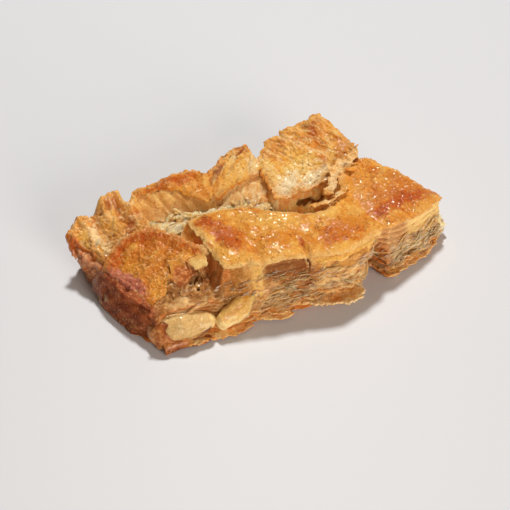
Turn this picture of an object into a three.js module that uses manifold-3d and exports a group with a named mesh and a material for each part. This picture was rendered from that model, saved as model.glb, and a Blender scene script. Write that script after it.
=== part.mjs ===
// A slab cut from a tray of baked yufka pastry, chopped part-way into bite-size squares.
// Millimetres, +Z up. X runs along the slab, the face cut from the tray looks along -Y,
// and the slab rests on its flat baked bottom at z = 0. It is one body: the sheets cling
// to each other, so the steps, slits and folds are all cut into or grown from one solid.
import * as THREE from 'three';
import { mergeVertices } from 'three/addons/utils/BufferGeometryUtils.js';
import Module from 'manifold-3d';

// ---- driving sizes ----------------------------------------------------------------
const SHEETS = [2.2, 3.4, 2.6, 4.2, 6.4, 7.2]; // thickness of each group of sheets in a cut wall, bottom to top
const GAP_SHARE = 0.34;        // share of a group's thickness that is the gap above it
const CELLS_X = 44;            // facets along the slab
const CELLS_Y = 22;            // facets across it
const FURROW_Z = 15;           // floor of the lengthwise tear between the two rows of squares
const SHEET_OUT = 0.9;         // how far the edge of a sheet stands proud of a wall
const SHEET_IN = 2.3;          // how far the gap between two sheets runs in
const CRUST_WRINKLE = 0.7;     // height of the blisters on the baked top
const SLIT_WIDTH = 2.4;        // a chopping cut, at the crust
const SLIT_DEPTH = 12;         // a chopping cut, at the front wall
const FLAKE_THICK = 1.5;       // a loose sheet of bottom crust
const CRUST_COLOUR = 0xd08a3a;

// Corners of the slab's four sides, at the bottom and at the crust, front-left first.
const FOOT = {
  front: [[-68, -40], [-44, -43], [-22, -42], [-4, -43], [16, -44], [42, -44], [66, -38]],
  right: [[66, -38], [86, -25], [80, -8], [71, 14], [62, 34]],
  back: [[-62, 38], [-30, 38], [4, 39], [34, 40], [62, 34]],
  left: [[-68, -40], [-80, -16], [-85, 2], [-85, 16], [-80, 30], [-62, 38]],
};
const RIM = {
  front: [[-72, -29], [-58, -29], [-38, -32], [-21, -36], [-3, -42], [14, -46], [40, -39], [62, -35]],
  right: [[62, -35], [83, -26], [74, -6], [62, 9], [58, 24], [54, 43]],
  back: [[-57, 40], [-36, 38], [-18, 38], [11, 40], [34, 43], [54, 43]],
  left: [[-72, -29], [-82, -14], [-90, 6], [-91, 24], [-82, 37], [-57, 40]],
};

// The chopped squares: corner x, y and crust height, how steeply the crumb drops away
// beside the square, and the rounding of the square's edge.
const SQUARES = {
  frontFirst: { corners: [[-38, 5, 30], [-37, -31, 29], [-21, -36, 30], [-19, 5, 31]], drop: 2.6, round: 4 },
  frontSecond: { corners: [[-21, 2, 32], [-21, -36, 30], [-1, -42, 30], [3, -12, 32], [-6, -2, 32]], drop: 2.6, round: 4 },
  frontThird: { corners: [[-1, -12, 32], [-1, -42, 30], [14, -47, 29], [40, -39, 28], [42, -14, 30], [20, -20, 31]], drop: 2.4, round: 5 },
  rightEnd: { corners: [[38, -37, 28], [38, -12, 30], [42, 8, 31], [61, 11, 29], [70, -3, 27], [84, -26, 20], [62, -35, 23]], drop: 3.0, round: 3 },
  backPeak: { corners: [[12, 30, 31], [24, 40, 32], [37, 43, 34], [54, 44, 37], [59, 14, 31], [40, 6, 30], [22, 4, 26], [11, 8, 25]], drop: 2.6, round: 4 },
  backMiddle: { corners: [[-16, 36, 30], [2, 39, 32], [12, 40, 33], [9, 22, 29], [-4, 16, 25], [-20, 14, 23]], drop: 2.2, round: 4 },
  backFirst: { corners: [[-54, 26, 27], [-51, 36, 29], [-36, 39, 31], [-18, 38, 31], [-16, 22, 28], [-32, 20, 24], [-50, 16, 22]], drop: 2.0, round: 5 },
  leftFilm: { corners: [[-91, 26, 20], [-82, 38, 24], [-68, 38, 27], [-56, 39, 30], [-55, 16, 22], [-70, 6, 22], [-90, 4, 17]], drop: 2.0, round: 4 },
  leftEnd: { corners: [[-84, -2, 23], [-68, 7, 28], [-56, 5, 28], [-42, -14, 27], [-44, -25, 24], [-58, -31, 19], [-74, -30, 17], [-84, -14, 19]], drop: 1.6, round: 5 },
};

// ---- helpers ----------------------------------------------------------------------
const mix = (a, b, t) => a + (b - a) * t;
const clamp = (v, lo, hi) => Math.min(hi, Math.max(lo, v));

// Smooth waviness, about -1 to 1.
const wave = (x, y, seed) =>
  0.5 * Math.sin(0.31 * x + 0.13 * y + 1.7 * seed) +
  0.3 * Math.sin(0.17 * x - 0.37 * y + 2.9 * seed) +
  0.35 * Math.sin(0.59 * x + 0.43 * y + 4.3 * seed);

// A repeatable number from 0 to 1 for a pair of whole numbers.
const scatter = (i, j) => {
  const s = Math.sin(i * 12.9898 + j * 78.233) * 43758.5453;
  return s - Math.floor(s);
};

// The point at fraction t of the length of a side.
function along(side, t) {
  const lengths = side.slice(1).map((p, i) => Math.hypot(p[0] - side[i][0], p[1] - side[i][1]));
  let left = clamp(t, 0, 1) * lengths.reduce((a, b) => a + b);
  for (let i = 0; i < lengths.length; i++) {
    if (left <= lengths[i] || i === lengths.length - 1) {
      const f = Math.min(1, left / lengths[i]);
      return [mix(side[i][0], side[i + 1][0], f), mix(side[i][1], side[i + 1][1], f)];
    }
    left -= lengths[i];
  }
  return side[side.length - 1];
}

// A point of the area inside four sides, u along the slab and v across it.
function inside(sides, u, v) {
  const f = along(sides.front, u), b = along(sides.back, u);
  const l = along(sides.left, v), r = along(sides.right, v);
  const c = [sides.front[0], sides.front.at(-1), sides.back[0], sides.back.at(-1)];
  return [0, 1].map((k) =>
    mix(f[k], b[k], v) + mix(l[k], r[k], u) -
    ((1 - u) * (1 - v) * c[0][k] + u * (1 - v) * c[1][k] + (1 - u) * v * c[2][k] + u * v * c[3][k]));
}

// Distance to the edge of a square in plan, positive inside it.
function edgeDistance(x, y, corners) {
  let best = Infinity, within = false;
  for (let i = 0, j = corners.length - 1; i < corners.length; j = i++) {
    const [ax, ay] = corners[j], [bx, by] = corners[i];
    const t = clamp(((x - ax) * (bx - ax) + (y - ay) * (by - ay)) / ((bx - ax) ** 2 + (by - ay) ** 2), 0, 1);
    best = Math.min(best, Math.hypot(x - ax - t * (bx - ax), y - ay - t * (by - ay)));
    if ((ay > y) !== (by > y) && x < ((bx - ax) * (y - ay)) / (by - ay) + ax) within = !within;
  }
  return within ? best : -best;
}

// Height of one square's crust over a point, from the heights of its corners.
function squareHeight(x, y, { corners, drop, round }) {
  let sum = 0, weight = 0;
  for (const [cx, cy, cz] of corners) {
    const w = 1 / ((x - cx) ** 2 + (y - cy) ** 2 + 40);
    sum += w * cz;
    weight += w;
  }
  const d = edgeDistance(x, y, corners);
  const fall = d < 0 ? drop * d : -0.3 * round * (1 - Math.min(1, d / round)) ** 2;
  return sum / weight + (d < 0 ? -0.3 * round : 0) + fall;
}

// Height of the baked top anywhere: the highest square, or the torn floor between them.
function crust(x, y) {
  let z = FURROW_Z + 1.6 * wave(x, y, 1);
  for (const square of Object.values(SQUARES)) z = Math.max(z, squareHeight(x, y, square));
  return z + CRUST_WRINKLE * wave(1.4 * x, 1.6 * y, 5);
}

// ---- solids -----------------------------------------------------------------------
const wasm = await Module();
wasm.setup();

function solid(geometry) {
  const bare = geometry.clone();
  bare.deleteAttribute('normal');
  bare.deleteAttribute('uv');
  const merged = mergeVertices(bare, 1e-4);
  return new wasm.Manifold(new wasm.Mesh({
    numProp: 3,
    vertProperties: new Float32Array(merged.attributes.position.array),
    triVerts: new Uint32Array(merged.index.array),
  }));
}

function reshape(geometry, move) {
  const p = geometry.attributes.position;
  for (let i = 0; i < p.count; i++) p.setXYZ(i, ...move(p.getX(i), p.getY(i), p.getZ(i)));
  return geometry;
}

function place(geometry, at, turn = [0, 0, 0]) {
  const m = new THREE.Matrix4().makeRotationFromEuler(new THREE.Euler(...turn.map((a) => (a * Math.PI) / 180), 'ZYX'));
  return geometry.applyMatrix4(m).translate(...at);
}

// The slab: a segmented block whose levels follow the sheets up the walls, every other
// level drawn in, and whose top follows the crust of the squares.
function slab() {
  const heights = [0];
  for (const thick of SHEETS) {
    heights.push(heights.at(-1) + thick * (1 - GAP_SHARE), heights.at(-1) + thick);
  }
  const levels = heights.length - 1;
  return reshape(new THREE.BoxGeometry(1, 1, 1, CELLS_X, CELLS_Y, levels), (gx, gy, gz) => {
    const u = gx + 0.5, v = gy + 0.5, w = gz + 0.5;
    const foot = inside(FOOT, u, v), rim = inside(RIM, u, v);
    const level = Math.round(w * levels);
    const rise = heights[level] / heights.at(-1);
    const onWall = Math.min(u, 1 - u, v, 1 - v) < 1e-6;
    let x = mix(foot[0], rim[0], rise), y = mix(foot[1], rim[1], rise);
    const top = crust(rim[0], rim[1]);
    let z = rise * top;
    if (onWall && level > 0 && level < levels) {
      const i = Math.round(u * CELLS_X) + 61 * Math.round(v * CELLS_Y);
      const middle = [mix(-2, x, 0.35), mix(0, y, 0.1)];
      const reach = Math.hypot(x - middle[0], y - middle[1]);
      const sheet = level >> 1;
      const torn = 0.8 * scatter(i, level) + 0.9 * wave(1.3 * x, 1.3 * y, sheet) + 0.5 * wave(0.4 * x, 0.5 * y, sheet + 9);
      const step = level % 2 ? SHEET_OUT * clamp(0.5 + torn, -1.2, 2.2) : -SHEET_IN * clamp(0.6 - 0.7 * torn, 0.05, 1.7);
      x += ((x - middle[0]) / reach) * step;
      y += ((y - middle[1]) / reach) * step;
      z += 0.5 * wave(x, y, sheet + 3) * Math.sin(Math.PI * rise);
    }
    return [x, y, level === 0 ? 0 : z];
  });
}

// A chopping cut: a wedge that is widest at the crust and fades out towards the tear.
function slit(from, to, top, depth, width) {
  const long = Math.hypot(to[0] - from[0], to[1] - from[1]);
  const turn = (Math.atan2(to[1] - from[1], to[0] - from[0]) * 180) / Math.PI;
  const wedge = reshape(new THREE.BoxGeometry(long, 1, 1, 8, 1, 2), (x, y, z) => {
    const t = x / long + 0.5;
    const open = mix(1, 0.35, t);
    const half = y * width * open * mix(0.12, 1, (z + 0.5) ** 1.3);
    return [x, half + 0.9 * Math.sin(3.1 * t * Math.PI), (z - 0.5) * depth * open + 0.5 * depth * (z > 0.4 ? 0.6 : 0)];
  });
  return place(wedge, [(from[0] + to[0]) / 2, (from[1] + to[1]) / 2, top], [0, 0, turn]);
}

// A loose leaf of crust with a torn edge, thin, a little curled.
function flake(long, deep, thick, torn, curl, seed) {
  const outline = new THREE.Shape();
  const steps = 22;
  for (let i = 0; i < steps; i++) {
    const a = (2 * Math.PI * i) / steps;
    const ragged = 1 - torn * scatter(i, seed);
    const x = (long / 2) * Math.sign(Math.cos(a)) * Math.abs(Math.cos(a)) ** 0.7 * ragged;
    const y = (deep / 2) * Math.sign(Math.sin(a)) * Math.abs(Math.sin(a)) ** 0.8 * ragged;
    if (i) outline.lineTo(x, y);
    else outline.moveTo(x, y);
  }
  const leaf = new THREE.ExtrudeGeometry(outline, { depth: thick, bevelEnabled: false, steps: 1 });
  return reshape(leaf, (x, y, z) => [x, y, z + curl * ((2 * x) / long) ** 2 - 0.3 * curl * Math.cos(0.5 * y)]);
}

// A soft roll of folded dough: round at the front, creased along its length.
function fold(long, radius, sag, seed) {
  return reshape(new THREE.SphereGeometry(1, 14, 9), (x, y, z) => {
    const crease = 1 - 0.16 * Math.exp(-((z - 0.15) ** 2) / 0.03) + 0.05 * Math.sin(5 * x + seed);
    return [x * (long / 2), y * radius * crease, z * radius * sag * crease * (1 - 0.22 * x * x)];
  });
}

let body = solid(slab());
const grow = (geometry) => { body = body.add(solid(geometry)); };
const cut = (geometry) => { body = body.subtract(solid(geometry)); };

// Chopping cuts across the front row.
cut(slit([-21, -44], [-20, -6], 31, SLIT_DEPTH, SLIT_WIDTH));
cut(slit([-1, -50], [1, -14], 31, SLIT_DEPTH, SLIT_WIDTH));
cut(slit([43, -48], [39, -16], 29, SLIT_DEPTH * 0.8, SLIT_WIDTH * 1.2));

// The hollow under the curled lip of the back row, open to the tear.
cut(place(new THREE.SphereGeometry(1, 14, 8).scale(12, 10, 6), [28, 7.5, 18], [12, 0, 6]));

// Hollows between the torn sheets of the front wall, below the left end of the front row.
cut(place(new THREE.SphereGeometry(1, 10, 6).scale(7, 6, 3.4), [-41, -34, 15], [0, 0, 25]));
cut(place(new THREE.SphereGeometry(1, 10, 6).scale(8, 5, 2.4), [-57, -37, 13.5], [0, 0, -6]));

// Folded dough at the front left, and the roll of crust that wraps its end.
grow(place(fold(27, 6.2, 0.86, 0.4), [-55, -37.5, 6.2], [0, 4, -8]));
grow(place(fold(21, 5.6, 1.0, 2.1), [-38, -40, 7], [0, -18, 14]));
grow(place(fold(13, 7.4, 0.62, 1.3), [-68, -34, 5.2], [0, 0, -62]));

// Loose leaves of bottom crust that stand out under the front wall.
grow(place(flake(36, 20, FLAKE_THICK, 0.22, 0.9, 3), [5, -46, 3.6], [0, 0, -4]));
grow(place(flake(30, 16, FLAKE_THICK, 0.25, 0.7, 8), [2, -43, 6.4], [0, 2, -6]));
grow(place(flake(24, 18, FLAKE_THICK, 0.24, 0.5, 5), [-20, -42, 1.2], [0, 0, 8]));
grow(place(flake(15, 12, FLAKE_THICK, 0.3, -0.8, 6), [35, -40, 5.6], [18, 6, 40]));

// Trim to the flat baked bottom and stand the slab over the middle of its own length and depth.
cut(new THREE.BoxGeometry(260, 200, 20).translate(0, 0, -10));
const { vertProperties, triVerts } = body.getMesh();
const geometry = new THREE.BufferGeometry();
geometry.setAttribute('position', new THREE.BufferAttribute(new Float32Array(vertProperties), 3));
geometry.setIndex(new THREE.BufferAttribute(new Uint32Array(triVerts), 1));
geometry.computeBoundingBox();
const { min, max } = geometry.boundingBox;
geometry.translate(-(min.x + max.x) / 2, -(min.y + max.y) / 2, 0);
geometry.computeVertexNormals();

const pastry = new THREE.Mesh(geometry, new THREE.MeshStandardMaterial({ color: CRUST_COLOUR, roughness: 0.55, metalness: 0 }));
pastry.name = 'borek';

const group = new THREE.Group();
group.name = 'pastry';
group.add(pastry);
export default group;
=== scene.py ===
import math
import bpy
import numpy as np
from mathutils import Matrix


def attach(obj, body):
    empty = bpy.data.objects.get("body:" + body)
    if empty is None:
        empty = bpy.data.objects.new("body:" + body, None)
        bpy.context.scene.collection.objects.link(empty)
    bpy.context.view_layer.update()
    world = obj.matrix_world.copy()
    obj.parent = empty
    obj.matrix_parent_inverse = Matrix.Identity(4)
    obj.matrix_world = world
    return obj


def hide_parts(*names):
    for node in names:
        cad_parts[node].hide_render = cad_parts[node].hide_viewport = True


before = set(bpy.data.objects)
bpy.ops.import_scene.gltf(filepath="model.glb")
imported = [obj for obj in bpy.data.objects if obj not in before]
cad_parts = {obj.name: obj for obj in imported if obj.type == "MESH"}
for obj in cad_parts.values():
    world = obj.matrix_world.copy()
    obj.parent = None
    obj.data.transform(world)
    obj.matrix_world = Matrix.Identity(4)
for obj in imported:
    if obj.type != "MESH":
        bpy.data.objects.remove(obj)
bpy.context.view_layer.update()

# Everything below is worked out in millimetres on the slab's own layout, then moved by
# SHIFT so that the slab stands over the frame's origin, and turned into metres.
SHIFT = np.array([2.598, 6.001, 0.0])
NODE = "borek"


# ---------------------------------------------------------------- small helpers
def smooth(a, b, v):
    t = np.clip((v - a) / (b - a), 0.0, 1.0)
    return t * t * (3 - 2 * t)


def lin(r, g, b):
    """An 8-bit display colour as linear light."""
    c = np.array([r, g, b]) / 255.0
    return np.where(c <= 0.04045, c / 12.92, ((c + 0.055) / 1.055) ** 2.4)


_lattice = {}


def noise2(x, y, size, seed):
    """Smooth waviness of about -1 to 1, with features of about `size` mm."""
    if seed not in _lattice:
        a = np.random.default_rng(seed).random((128, 128)) * 2 * math.pi
        _lattice[seed] = (np.cos(a).astype(np.float32), np.sin(a).astype(np.float32))
    gx, gy = _lattice[seed]
    c, s = math.cos(seed * 2.399963), math.sin(seed * 2.399963)
    p, q = (c * x + s * y) / size + 64.37, (-s * x + c * y) / size + 64.71
    i, j = np.floor(p).astype(np.int32), np.floor(q).astype(np.int32)
    u, v = (p - i).astype(np.float32), (q - j).astype(np.float32)
    fu, fv = u * u * u * (u * (u * 6 - 15) + 10), v * v * v * (v * (v * 6 - 15) + 10)
    i0, j0, i1, j1 = i & 127, j & 127, (i + 1) & 127, (j + 1) & 127
    a = gx[i0, j0] * u + gy[i0, j0] * v
    b = gx[i1, j0] * (u - 1) + gy[i1, j0] * v
    d = gx[i0, j1] * u + gy[i0, j1] * (v - 1)
    e = gx[i1, j1] * (u - 1) + gy[i1, j1] * (v - 1)
    return 1.6 * ((a * (1 - fu) + b * fu) * (1 - fv) + (d * (1 - fu) + e * fu) * fv)


def noise3(x, y, z, size, seed):
    key = (seed, 3)
    if key not in _lattice:
        g = np.random.default_rng(seed).normal(size=(32, 32, 32, 3))
        _lattice[key] = (g / np.linalg.norm(g, axis=3)[..., None]).astype(np.float32)
    t = _lattice[key]
    p = [np.asarray(a) / size + 32.37 for a in (x, y, z)]
    i = [np.floor(a).astype(np.int32) for a in p]
    f = [(a - b).astype(np.float32) for a, b in zip(p, i)]
    w = [a * a * a * (a * (a * 6 - 15) + 10) for a in f]
    out = 0
    for dx in (0, 1):
        for dy in (0, 1):
            for dz in (0, 1):
                g = t[(i[0] + dx) & 31, (i[1] + dy) & 31, (i[2] + dz) & 31]
                dot = g[..., 0] * (f[0] - dx) + g[..., 1] * (f[1] - dy) + g[..., 2] * (f[2] - dz)
                out = out + dot * (w[0] if dx else 1 - w[0]) * (w[1] if dy else 1 - w[1]) * (w[2] if dz else 1 - w[2])
    return 1.7 * out


def fbm2(x, y, size, seed, octaves=3):
    out, amp = 0, 1.0
    for k in range(octaves):
        out = out + amp * noise2(x, y, size / 2 ** k, seed + 17 * k)
        amp *= 0.5
    return out / 1.5


def fbm3(x, y, z, size, seed, octaves=3):
    out, amp = 0, 1.0
    for k in range(octaves):
        out = out + amp * noise3(x, y, z, size / 2 ** k, seed + 17 * k)
        amp *= 0.5
    return out / 1.5


def crinkle(x, y, size, seed):
    """Sharp creases and ridges like crumpled foil, about -1 to 1."""
    wx = x + 0.45 * size * noise2(x, y, size * 1.4, seed + 1)
    wy = y + 0.45 * size * noise2(x, y, size * 1.4, seed + 2)
    r = 1 - np.abs(noise2(wx, wy, size, seed)) * 2.6
    return r * 0.6 + 0.4 * (1 - np.abs(noise2(wx + 3 * r, wy, size * 0.55, seed + 3)) * 2.6)


def blisters(x, y, size, seed):
    """Small rounded bumps packed side by side, 0 in the gaps to 1 on top."""
    rng = np.random.default_rng(seed)
    px, py, hi = rng.random((64, 64)), rng.random((64, 64)), rng.random((64, 64))
    u, v = x / size + 40.3, y / size + 40.7
    i, j = np.floor(u).astype(np.int32), np.floor(v).astype(np.int32)
    best = np.zeros(np.shape(x))
    for di in (-1, 0, 1):
        for dj in (-1, 0, 1):
            a, b = (i + di) & 63, (j + dj) & 63
            d2 = (i + di + px[a, b] - u) ** 2 + (j + dj + py[a, b] - v) ** 2
            best = np.maximum(best, (0.45 + 0.55 * hi[a, b]) * np.clip(1 - d2 * 1.5, 0, 1))
    return best


def inside_poly(x, y, pts):
    """Distance to a closed outline, positive inside."""
    best = np.full(np.shape(x), 1e9)
    within = np.zeros(np.shape(x), bool)
    n = len(pts)
    for i in range(n):
        ax, ay = pts[i - 1][:2]
        bx, by = pts[i][:2]
        ex, ey = bx - ax, by - ay
        t = np.clip(((x - ax) * ex + (y - ay) * ey) / (ex * ex + ey * ey + 1e-9), 0, 1)
        best = np.minimum(best, (x - ax - t * ex) ** 2 + (y - ay - t * ey) ** 2)
        cross = ((ay > y) != (by > y)) & (x < ex * (y - ay) / (ey if ey else 1e-9) + ax)
        within ^= cross
    return np.where(within, 1, -1) * np.sqrt(best)


def along(x, y, a, b):
    """How far along the line a-b each point is (0 to 1), and how far off it."""
    ex, ey = b[0] - a[0], b[1] - a[1]
    t = np.clip(((x - a[0]) * ex + (y - a[1]) * ey) / (ex * ex + ey * ey), 0, 1)
    return t, np.hypot(x - a[0] - t * ex, y - a[1] - t * ey)


def bump(x, y, cx, cy, a, b, turn=0.0):
    """A round hill of height 1 at (cx, cy)."""
    c, s = math.cos(math.radians(turn)), math.sin(math.radians(turn))
    dx, dy = x - cx, y - cy
    return np.exp(-(((c * dx + s * dy) / a) ** 2 + ((-s * dx + c * dy) / b) ** 2))


def oval(X, Y, at, size, turn):
    """Distance to an oval in plan, positive inside."""
    c, q = math.cos(math.radians(turn)), math.sin(math.radians(turn))
    dx, dy = X - at[0], Y - at[1]
    u, v = (c * dx + q * dy) / size[0], (-q * dx + c * dy) / size[1]
    return (1 - np.sqrt(u * u + v * v)) * min(size)


def band(v, low, high, soft):
    return smooth(low - soft, low + soft, v) * smooth(high + soft, high - soft, v)


# ---------------------------------------------------------------- the slab's layout
# The outline at four heights (0, 8, 18 and 30 mm), going round from the front left.
LEVELS = [0.0, 8.0, 18.0, 30.0]
OUTLINE = [
    [(-67, -40), (-71, -38), (-74, -31), (-76, -28)],
    [(-57, -42), (-58, -37), (-60, -31), (-60, -28)],
    [(-44, -43), (-45, -38), (-46, -33), (-45, -29)],
    [(-34, -42), (-34, -39), (-35, -36), (-37, -32)],
    [(-24, -42), (-23, -40), (-22, -38), (-21, -36)],
    [(-12, -43), (-11, -42), (-11, -41), (-10, -39)],
    [(0, -44), (-1, -44), (-1, -43), (-1, -42)],
    [(13, -47), (13, -47), (14, -47), (14, -46)],
    [(23, -48), (27, -47), (31, -44.5), (37, -41)],
    [(27, -36), (29, -36.5), (33, -37.5), (40, -37.5)],
    [(38, -34), (38.5, -35), (40, -37), (43, -37.2)],
    [(40, -44), (42.5, -42.5), (44, -40), (45.5, -38)],
    [(54, -42), (54, -40.5), (55, -37.5), (54, -35.5)],
    [(69, -38), (69, -36), (68, -33), (66, -32.5)],
    [(84, -27), (84.5, -28), (84.5, -26.5), (84.5, -26)],
    [(77, -8), (77, -8), (76, -7), (75, -6)],
    [(69, 8), (68, 8), (66, 8), (64, 8)],
    [(63, 16), (62, 16), (61, 15), (60, 14)],
    [(60, 28), (60, 28), (59, 27), (58, 26)],
    [(55, 38), (55, 39), (55, 41), (55, 44)],
    [(36, 40), (36, 41), (36, 42), (36, 43)],
    [(12, 40), (12, 40), (12, 40), (11, 40.5)],
    [(-16, 38), (-16, 38), (-17, 38), (-17, 38.5)],
    [(-38, 38), (-38, 38), (-38, 38), (-38, 38.5)],
    [(-56, 38), (-56, 38.5), (-57, 39), (-57, 40)],
    [(-72, 36), (-73, 37), (-74, 38), (-74, 39)],
    [(-79, 33), (-82, 34), (-85.5, 34), (-86.5, 35)],
    [(-83, 26), (-85, 28), (-87, 29), (-88, 30)],
    [(-84, 19), (-85, 20), (-85, 20), (-86, 20)],
    [(-82, 14), (-82, 13.5), (-81, 13), (-82, 13)],
    [(-84, 7), (-83.5, 7), (-81, 6), (-80, 6)],
    [(-84.5, -3), (-83, -3), (-79, -3), (-78, -3)],
    [(-83, -13), (-81, -13), (-77, -12), (-75, -12)],
    [(-80, -22), (-78, -22), (-74, -20), (-72, -20)],
    [(-75, -30), (-75, -29), (-71, -27), (-69, -26)],
]

# The rows of squares: corners (x, y, crust height), how steeply the side drops, edge rounding.
# The front row and its right end share one crust, which the chopping cuts only crease.
SQUARES = {
    "FR": ([(-38, 5, 30), (-37.5, -31, 29), (-21, -36, 30), (-1, -42, 30), (14, -47, 29), (40, -40, 28), (62, -35, 23.5), (83, -26, 20.5),
            (70, -3, 27), (61, 11, 29), (42, 9, 31), (37, -8, 30.5), (20, -19, 31.5), (3, -12, 32), (-6, -2, 32), (-19, 5, 31)], 2.8, 3.0),
    "BP": ([(12, 30, 31), (24, 40, 32), (37, 43, 34), (54, 44, 36), (59, 14, 31), (40, 6, 30), (22, 4, 26), (11, 8, 25)], 3.0, 2.0),
    "BM": ([(-18, 20.5, 22), (-15.5, 25, 28), (-14, 33, 31), (-4, 37, 32), (3, 39, 33.5), (9.5, 39.5, 35), (10.5, 34, 33), (12.5, 30, 31),
            (11.5, 25.5, 29.5), (1, 24, 28), (-5, 23.5, 27), (-13, 21, 24)], 3.0, 2.0),
    "BL": ([(-51, 36, 28), (-44, 36, 29), (-38, 34.5, 29.5), (-32, 31, 29.5), (-26, 25, 28.5), (-21, 20.5, 26), (-17, 21, 26), (-15, 26, 28), (-14.5, 33, 31), (-20, 38.5, 31), (-36, 39.5, 30.5), (-50, 38.5, 28.5)], 1.5, 2.5),
    "LF": ([(-87, 32, 21.5), (-82, 36, 22.5), (-79, 38.5, 24), (-74, 37.5, 24.5), (-69, 38, 26), (-63, 39, 29), (-58, 38, 30), (-56, 33, 27), (-53, 33, 27.5),
            (-51.5, 25, 22), (-54, 14, 22), (-66, 10, 22), (-78, 9, 18.5), (-81.5, 20, 17), (-85, 27, 17.5)], 2.2, 2.0),
    "FL": ([(-79.5, 6, 17), (-76, 9.5, 20), (-69, 12.5, 24.5), (-61, 10.5, 27.5), (-55, 8, 28), (-49, 1, 28), (-44, -8, 28), (-38, -16, 27), (-39.5, -24, 25),
            (-56, -31, 19), (-69, -29, 15), (-72, -19, 15.5), (-75, -8, 16.5), (-78.5, 2, 17)], 1.9, 3.0),
    # smooth torn faces of the back row, below its crust
    "face_left": ([(-51, 36, 27.5), (-44, 36, 28.5), (-38, 34.5, 28.7), (-32, 31, 28.5), (-26, 25, 27.5), (-20, 20, 24), (-21, 17, 20), (-29, 15, 18), (-38, 16, 16), (-46, 20, 15), (-53, 25, 15)], 2.0, 3.0),
    "face_mid": ([(-19, 20.5, 20.5), (-13, 22, 23), (-5, 24.5, 25.5), (1, 25, 26.5), (11, 26.5, 28), (11, 15, 21.5), (5, 10, 19), (-6, 10.5, 17.5), (-16, 13, 16.5)], 2.0, 3.5),
}
FACES = ("face_left", "face_mid")
FLOOR_Z = 17.0
TORN = [(-54, -13.5), (-46, -15.5), (-38, -20), (-38, -40), (-76, -40), (-73, -27), (-67, -25), (-61, -21)]


def torn_slope(x, y):
    """The torn front of the left square: a steep slope that eases out towards its foot."""
    return 17.6 + 0.10 * (x + 52) + np.where(y > -24, 0.62, 0.42) * (y + 24)



def square_height(x, y, corners):
    """The crust of one square: a plane through its corners, eased to each corner's height."""
    c = np.array(corners, float)
    plane, *_ = np.linalg.lstsq(np.c_[c[:, 0], c[:, 1], np.ones(len(c))], c[:, 2], rcond=None)
    rest = c[:, 2] - (c[:, 0] * plane[0] + c[:, 1] * plane[1] + plane[2])
    num, den = 0.0, 1e-9
    for (cx, cy, _), r in zip(corners, rest):
        w = 1.0 / ((x - cx) ** 2 + (y - cy) ** 2 + 30.0)
        num, den = num + w * r, den + w
    h = x * plane[0] + y * plane[1] + plane[2] + num / den
    return np.clip(h, c[:, 2].min() - 3, c[:, 2].max() + 1.5)


def broad_relief(name, x, y):
    """The larger rises and dips of a square, which the crumb shares with its crust."""
    r = 0.7 * noise2(x, y, 13, 10) + 0.35 * noise2(x, y, 6, 11)
    if name == "FR":
        t, q = along(x, y, (-21, -36), (-19, 5))          # shallow creases where it was chopped
        q = q + 0.8 * noise2(x, y, 4, 24)
        r = r - 1.0 * np.exp(-((q / 2.2) ** 2)) * (1 - 0.8 * t)
        t, q = along(x, y, (-1, -42), (1, -12))
        q = q + 0.8 * noise2(x, y, 4, 25)
        r = r - 1.1 * np.exp(-((q / 1.9) ** 2)) * (1 - 0.85 * t)
        t, q = along(x, y, (41, -40), (39, -14))
        r = r - 0.9 * np.exp(-((q / 3.5) ** 2))
        r = r + 0.9 * bump(x, y, -30, -24, 7, 7) + 0.9 * bump(x, y, -10, -26, 7, 9) + 1.0 * bump(x, y, 19, -33, 12, 8) + 0.8 * bump(x, y, 56, -14, 12, 12)
    elif name == "BP":
        r = r + 2.2 * bump(x, y, 49, 38, 4, 6) - 1.4 * bump(x, y, 41, 39, 3, 4) + 0.8 * bump(x, y, 36, 20, 8, 5, 40)
        r = r + 0.5 * crinkle(x, y, 9, 31)
    elif name == "BM":
        r = 0.5 * r + 0.5 * crinkle(0.35 * x + 0.2 * y, y - 0.45 * x, 3.6, 33)
    elif name == "BL":
        r = r + 0.6 * noise2(x * 1.6, y, 6, 34)
    elif name == "face_left":
        r = 0.5 * r + 0.8 * bump(x, y, -45, 28, 6, 6) - 1.6 * bump(x, y, -35, 23, 3, 2.4, 20) - 1.4 * bump(x, y, -28, 19, 3.4, 2.2, -10) + 0.8 * crinkle(x + 0.3 * y, 0.35 * y, 3.4, 37)
    elif name == "face_mid":
        r = 0.5 * r + 0.8 * noise2(x, y, 5, 38) * smooth(-6, 0, x) + 0.7 * crinkle(x - 0.5 * y, 0.35 * y, 3.0, 39)
    elif name == "LF":
        r = r + 0.9 * crinkle(x, y, 10, 35)
        for a, b, up_by in (((-68, 38), (-65, 16), 1.8), ((-79, 37), (-76, 14), 1.3), ((-57, 33), (-57, 14), 1.4)):
            t, q = along(x + 1.2 * noise2(x, y, 6, 48), y, a, b)
            r = r + up_by * np.exp(-((q / 2.2) ** 2)) * smooth(1.0, 0.5, t)
        for a, b in (((-73, 37), (-72, 14)), ((-61, 34), (-60, 14))):
            t, q = along(x + 1.2 * noise2(x, y, 6, 49), y, a, b)
            r = r - 1.5 * np.exp(-((q / 2.0) ** 2))
    elif name == "FL":
        r = r + 0.5 * crinkle(x, y, 11, 36) + 1.6 * bump(x, y, -60, -6, 9, 8)
    return r


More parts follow.
